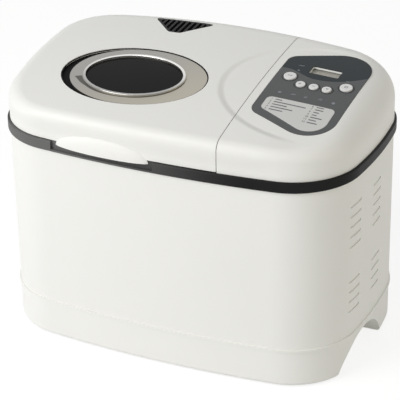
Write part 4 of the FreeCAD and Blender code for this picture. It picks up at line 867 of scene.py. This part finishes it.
class BREAD_OT_panel_print(bpy.types.Operator):
    """Prints the pale signs on the panel"""

    bl_idname = "bread.panel_print"
    bl_label = "Panel print"

    def execute(self, context):
        stroke = context.scene.bread_print.sign_stroke / MM
        # X and Y of each sign, and its lines about that place
        signs = (
            (87.5, 31.3, [((-2.6, -0.6), (-0.6, 0.5), (0.6, -0.5), (2.6, 0.6))]),
            (88.0, 22.4, [((-1.2, 0.0), (1.2, 0.0)), ((0.0, -1.2), (0.0, 1.2))]),
            (136.3, 20.4, [((-1.5, 0.0), (1.5, 0.0))]),
            (86.2, -18.7, [((-1.2, -0.9), (1.2, -0.9), (1.2, 0.9), (-1.2, 0.9), (-1.2, -0.9)),
                           ((-0.8, 0.0), (0.8, 0.0))]),
            (98.8, -18.1, [((-2.0, -1.0), (0.2, 1.0)), ((0.0, -1.0), (2.2, 1.0))]),
            (111.1, -18.2, [((-1.6, -1.0), (0.0, 1.4), (1.6, -1.0), (-1.6, -1.0))]),
            (124.3, -17.4, [((-1.4, -1.2), (-0.4, 1.2), (1.6, 1.2)), ((1.0, -1.2), (1.0, 0.4))]),
            (137.1, -18.3, [circle(SIGN_POINTS) * 1.3, circle(SIGN_POINTS) * 0.45]),
        )
        grids = [strip(np.asarray(line) + (x, y), stroke, PANEL_LEVELS)
                 for x, y, lines in signs for line in lines]
        make_piece("panel_print", grids, "housing", "print_pale")
        return {"FINISHED"}


class BREAD_OT_key_marks(bpy.types.Operator):
    """Prints a plain sign on each button and key, and a dark ring of painted shadow round it on the panel"""

    bl_idname = "bread.key_marks"
    bl_label = "Key marks"

    def execute(self, context):
        """A sign lies at the highest lift of its key's points over the domed top, and a ring is a circle half
        its own width outside the key."""
        stroke = context.scene.bread_print.sign_stroke / MM
        shadow_width = context.scene.bread_print.key_shadow_width / MM
        # X and Y of each key, and the lines of its sign about that place
        signs = {
            "left_button": (85.0, 8.6, ((-2.2, 0.0), (2.2, 0.0))),
            "right_button": (139.1, 8.7, ((-1.3, -1.1), (1.3, -1.1), (1.3, 1.1), (-1.3, 1.1), (-1.3, -1.1))),
            "first_key": (98.7, -1.0, ((-1.2, -0.7), (0.0, 0.9), (1.2, -0.7), (-1.2, -0.7))),
            "second_key": (111.6, -0.7, ((-1.3, 0.0), (1.3, 0.0))),
            "third_key": (124.5, -0.8, ((-1.2, 0.7), (0.0, -0.9), (1.2, 0.7), (-1.2, 0.7))),
        }
        shadow_rings = []
        for name, (x, y, line) in signs.items():
            points = node_points(name)
            radius = np.ptp(points[:, 0]) / 2 + shadow_width / 2
            shadow_rings.append(strip(circle(KEY_SHADOW_POINTS) * radius + (x, y), shadow_width, KEY_SHADOW_LEVELS))
            top = (points[:, 2] - crown(points[:, 0], points[:, 1])).max()
            sign = strip(np.array(line) + (x, y), stroke, [top + level for level in KEY_LEVELS])
            make_piece(f"{name}_mark", [sign], name, "print_key")
        make_piece("key_shadow_rings", shadow_rings, "housing", "painted_key_shadow")
        return {"FINISHED"}


class BREAD_OT_stage(bpy.types.Operator):
    """Sets the floor, the camera and the light"""

    bl_idname = "bread.stage"
    bl_label = "Stage"

    def execute(self, context):
        scene = context.scene
        stage = scene.bread_stage
        scene.view_settings.view_transform = "Standard"
        self.make_floor()
        self.make_room(scene, stage)
        self.make_lamp("key_lamp", stage.key_light, side=1.6, colour=(1.0, 0.995, 0.985),
                       place=(-1.3, -1.8, 1.4))
        self.make_lamp("side_lamp", stage.side_light, side=1.2, colour=(1.0, 0.9, 0.58),
                       place=(2.0, -0.3, 0.7))
        camera = bpy.data.cameras.new("camera")
        camera.sensor_fit = "HORIZONTAL"
        camera.sensor_width = SENSOR_WIDTH
        camera.lens = stage.camera_lens
        seat = bpy.data.objects.new("camera", camera)
        seat.location = stage.camera_place
        seat.rotation_euler = stage.camera_turn
        scene.collection.objects.link(seat)
        scene.camera = seat
        return {"FINISHED"}

    def make_floor(self):
        """A pale floor just below the feet: rings of points about the middle, whose radius grows with the
        square of their number. Where it is seen it glows, so that shadows on it stay faint."""
        radius = np.linspace(0.0, 1.0, FLOOR_RINGS)[:, None] ** 2 * FLOOR_RADIUS
        turn = np.linspace(0.0, ROUND, FLOOR_SPOKES, endpoint=False)[None, :]
        level = np.full((FLOOR_RINGS, FLOOR_SPOKES), FLOOR_LEVEL)
        points = np.stack((radius * np.cos(turn), radius * np.sin(turn), level), -1).reshape(-1, 3) * MM
        mesh = bpy.data.meshes.new("floor")
        mesh.from_pydata(points.tolist(), [], grid_faces(FLOOR_RINGS, FLOOR_SPOKES, False, True, 0).tolist())
        floor = bpy.data.objects.new("floor", mesh)
        bpy.context.scene.collection.objects.link(floor)
        paint = Finish("floor", Base_Color=(0.8, 0.8, 0.8), Roughness=0.9, Specular_IOR_Level=0.0)
        grey = paint.mix(paint.noise(40.0), (0.27, 0.27, 0.27), (0.29, 0.29, 0.29))
        shadow = paint.node("ShaderNodeBsdfDiffuse", None, {"Color": grey})
        glow = paint.node("ShaderNodeEmission", None, {"Color": (1.0, 1.0, 1.0), "Strength": 0.8})
        bright = paint.node("ShaderNodeAddShader", None, {0: shadow, 1: glow})
        plain = Value(paint, paint.shader.outputs[0])
        both = paint.node("ShaderNodeMixShader", None, {0: paint.seen(), 1: plain, 2: bright})
        paint.feed(paint.tree.nodes["Material Output"].inputs["Surface"], both)
        mesh.materials.append(paint.material)

    def make_room(self, scene, stage):
        """Even light from all round; the camera, metal and glass see white."""
        scene.world = bpy.data.worlds.new("room")
        scene.world.use_nodes = True
        room = Nodes(scene.world.node_tree)
        level = room.node("ShaderNodeMapRange", None, {
            "Value": room.seen(), "To Min": stage.room_light, "To Max": 1.0})
        back = room.tree.nodes["Background"]
        room.feed(back.inputs["Color"], (1.0, 1.0, 1.0))
        room.feed(back.inputs["Strength"], level)

    def make_lamp(self, name, power, side, colour, place):
        """A square lamp that faces the middle of the object."""
        lamp = bpy.data.lights.new(name, "AREA")
        lamp.energy = power
        lamp.color = colour
        lamp.size = side
        seat = bpy.data.objects.new(name, lamp)
        seat.location = place
        aim = Vector(LAMP_AIM) - seat.location
        seat.rotation_euler = aim.to_track_quat("-Z", "Y").to_euler()
        bpy.context.scene.collection.objects.link(seat)


OPERATORS = (BREAD_OT_finishes, BREAD_OT_window_trim, BREAD_OT_vent_slats, BREAD_OT_seam_strip,
             BREAD_OT_card_print, BREAD_OT_panel_print, BREAD_OT_key_marks, BREAD_OT_stage)
GROUPS = {"bread_look": BreadMachineLook, "bread_print": BreadMachinePrint, "bread_stage": BreadMachineStage}


class BREAD_PT_sidebar(bpy.types.Panel):
    """Lists the operators and the values they read"""

    bl_idname = "BREAD_PT_sidebar"
    bl_label = "Bread machine"
    bl_space_type = "VIEW_3D"
    bl_region_type = "UI"
    bl_category = "Bread machine"

    def draw(self, context):
        for operator in OPERATORS:
            self.layout.operator(operator.bl_idname)
        for name, group in GROUPS.items():
            values = getattr(context.scene, name)
            box = self.layout.box()
            for field in group.__annotations__:
                box.prop(values, field)


def register():
    """Registers the groups, the operators and the panel."""
    for name, group in GROUPS.items():
        bpy.utils.register_class(group)
        setattr(bpy.types.Scene, name, bpy.props.PointerProperty(type=group))
    for operator in OPERATORS:
        bpy.utils.register_class(operator)
    bpy.utils.register_class(BREAD_PT_sidebar)


def unregister():
    """Takes them back in the opposite order."""
    bpy.utils.unregister_class(BREAD_PT_sidebar)
    for operator in reversed(OPERATORS):
        bpy.utils.unregister_class(operator)
    for name, group in reversed(GROUPS.items()):
        delattr(bpy.types.Scene, name)
        bpy.utils.unregister_class(group)


def main():
    """Makes every piece in order."""
    register()
    for operator in OPERATORS:
        group, name = operator.bl_idname.split(".")
        getattr(getattr(bpy.ops, group), name)()


if __name__ == "__main__":
    main()
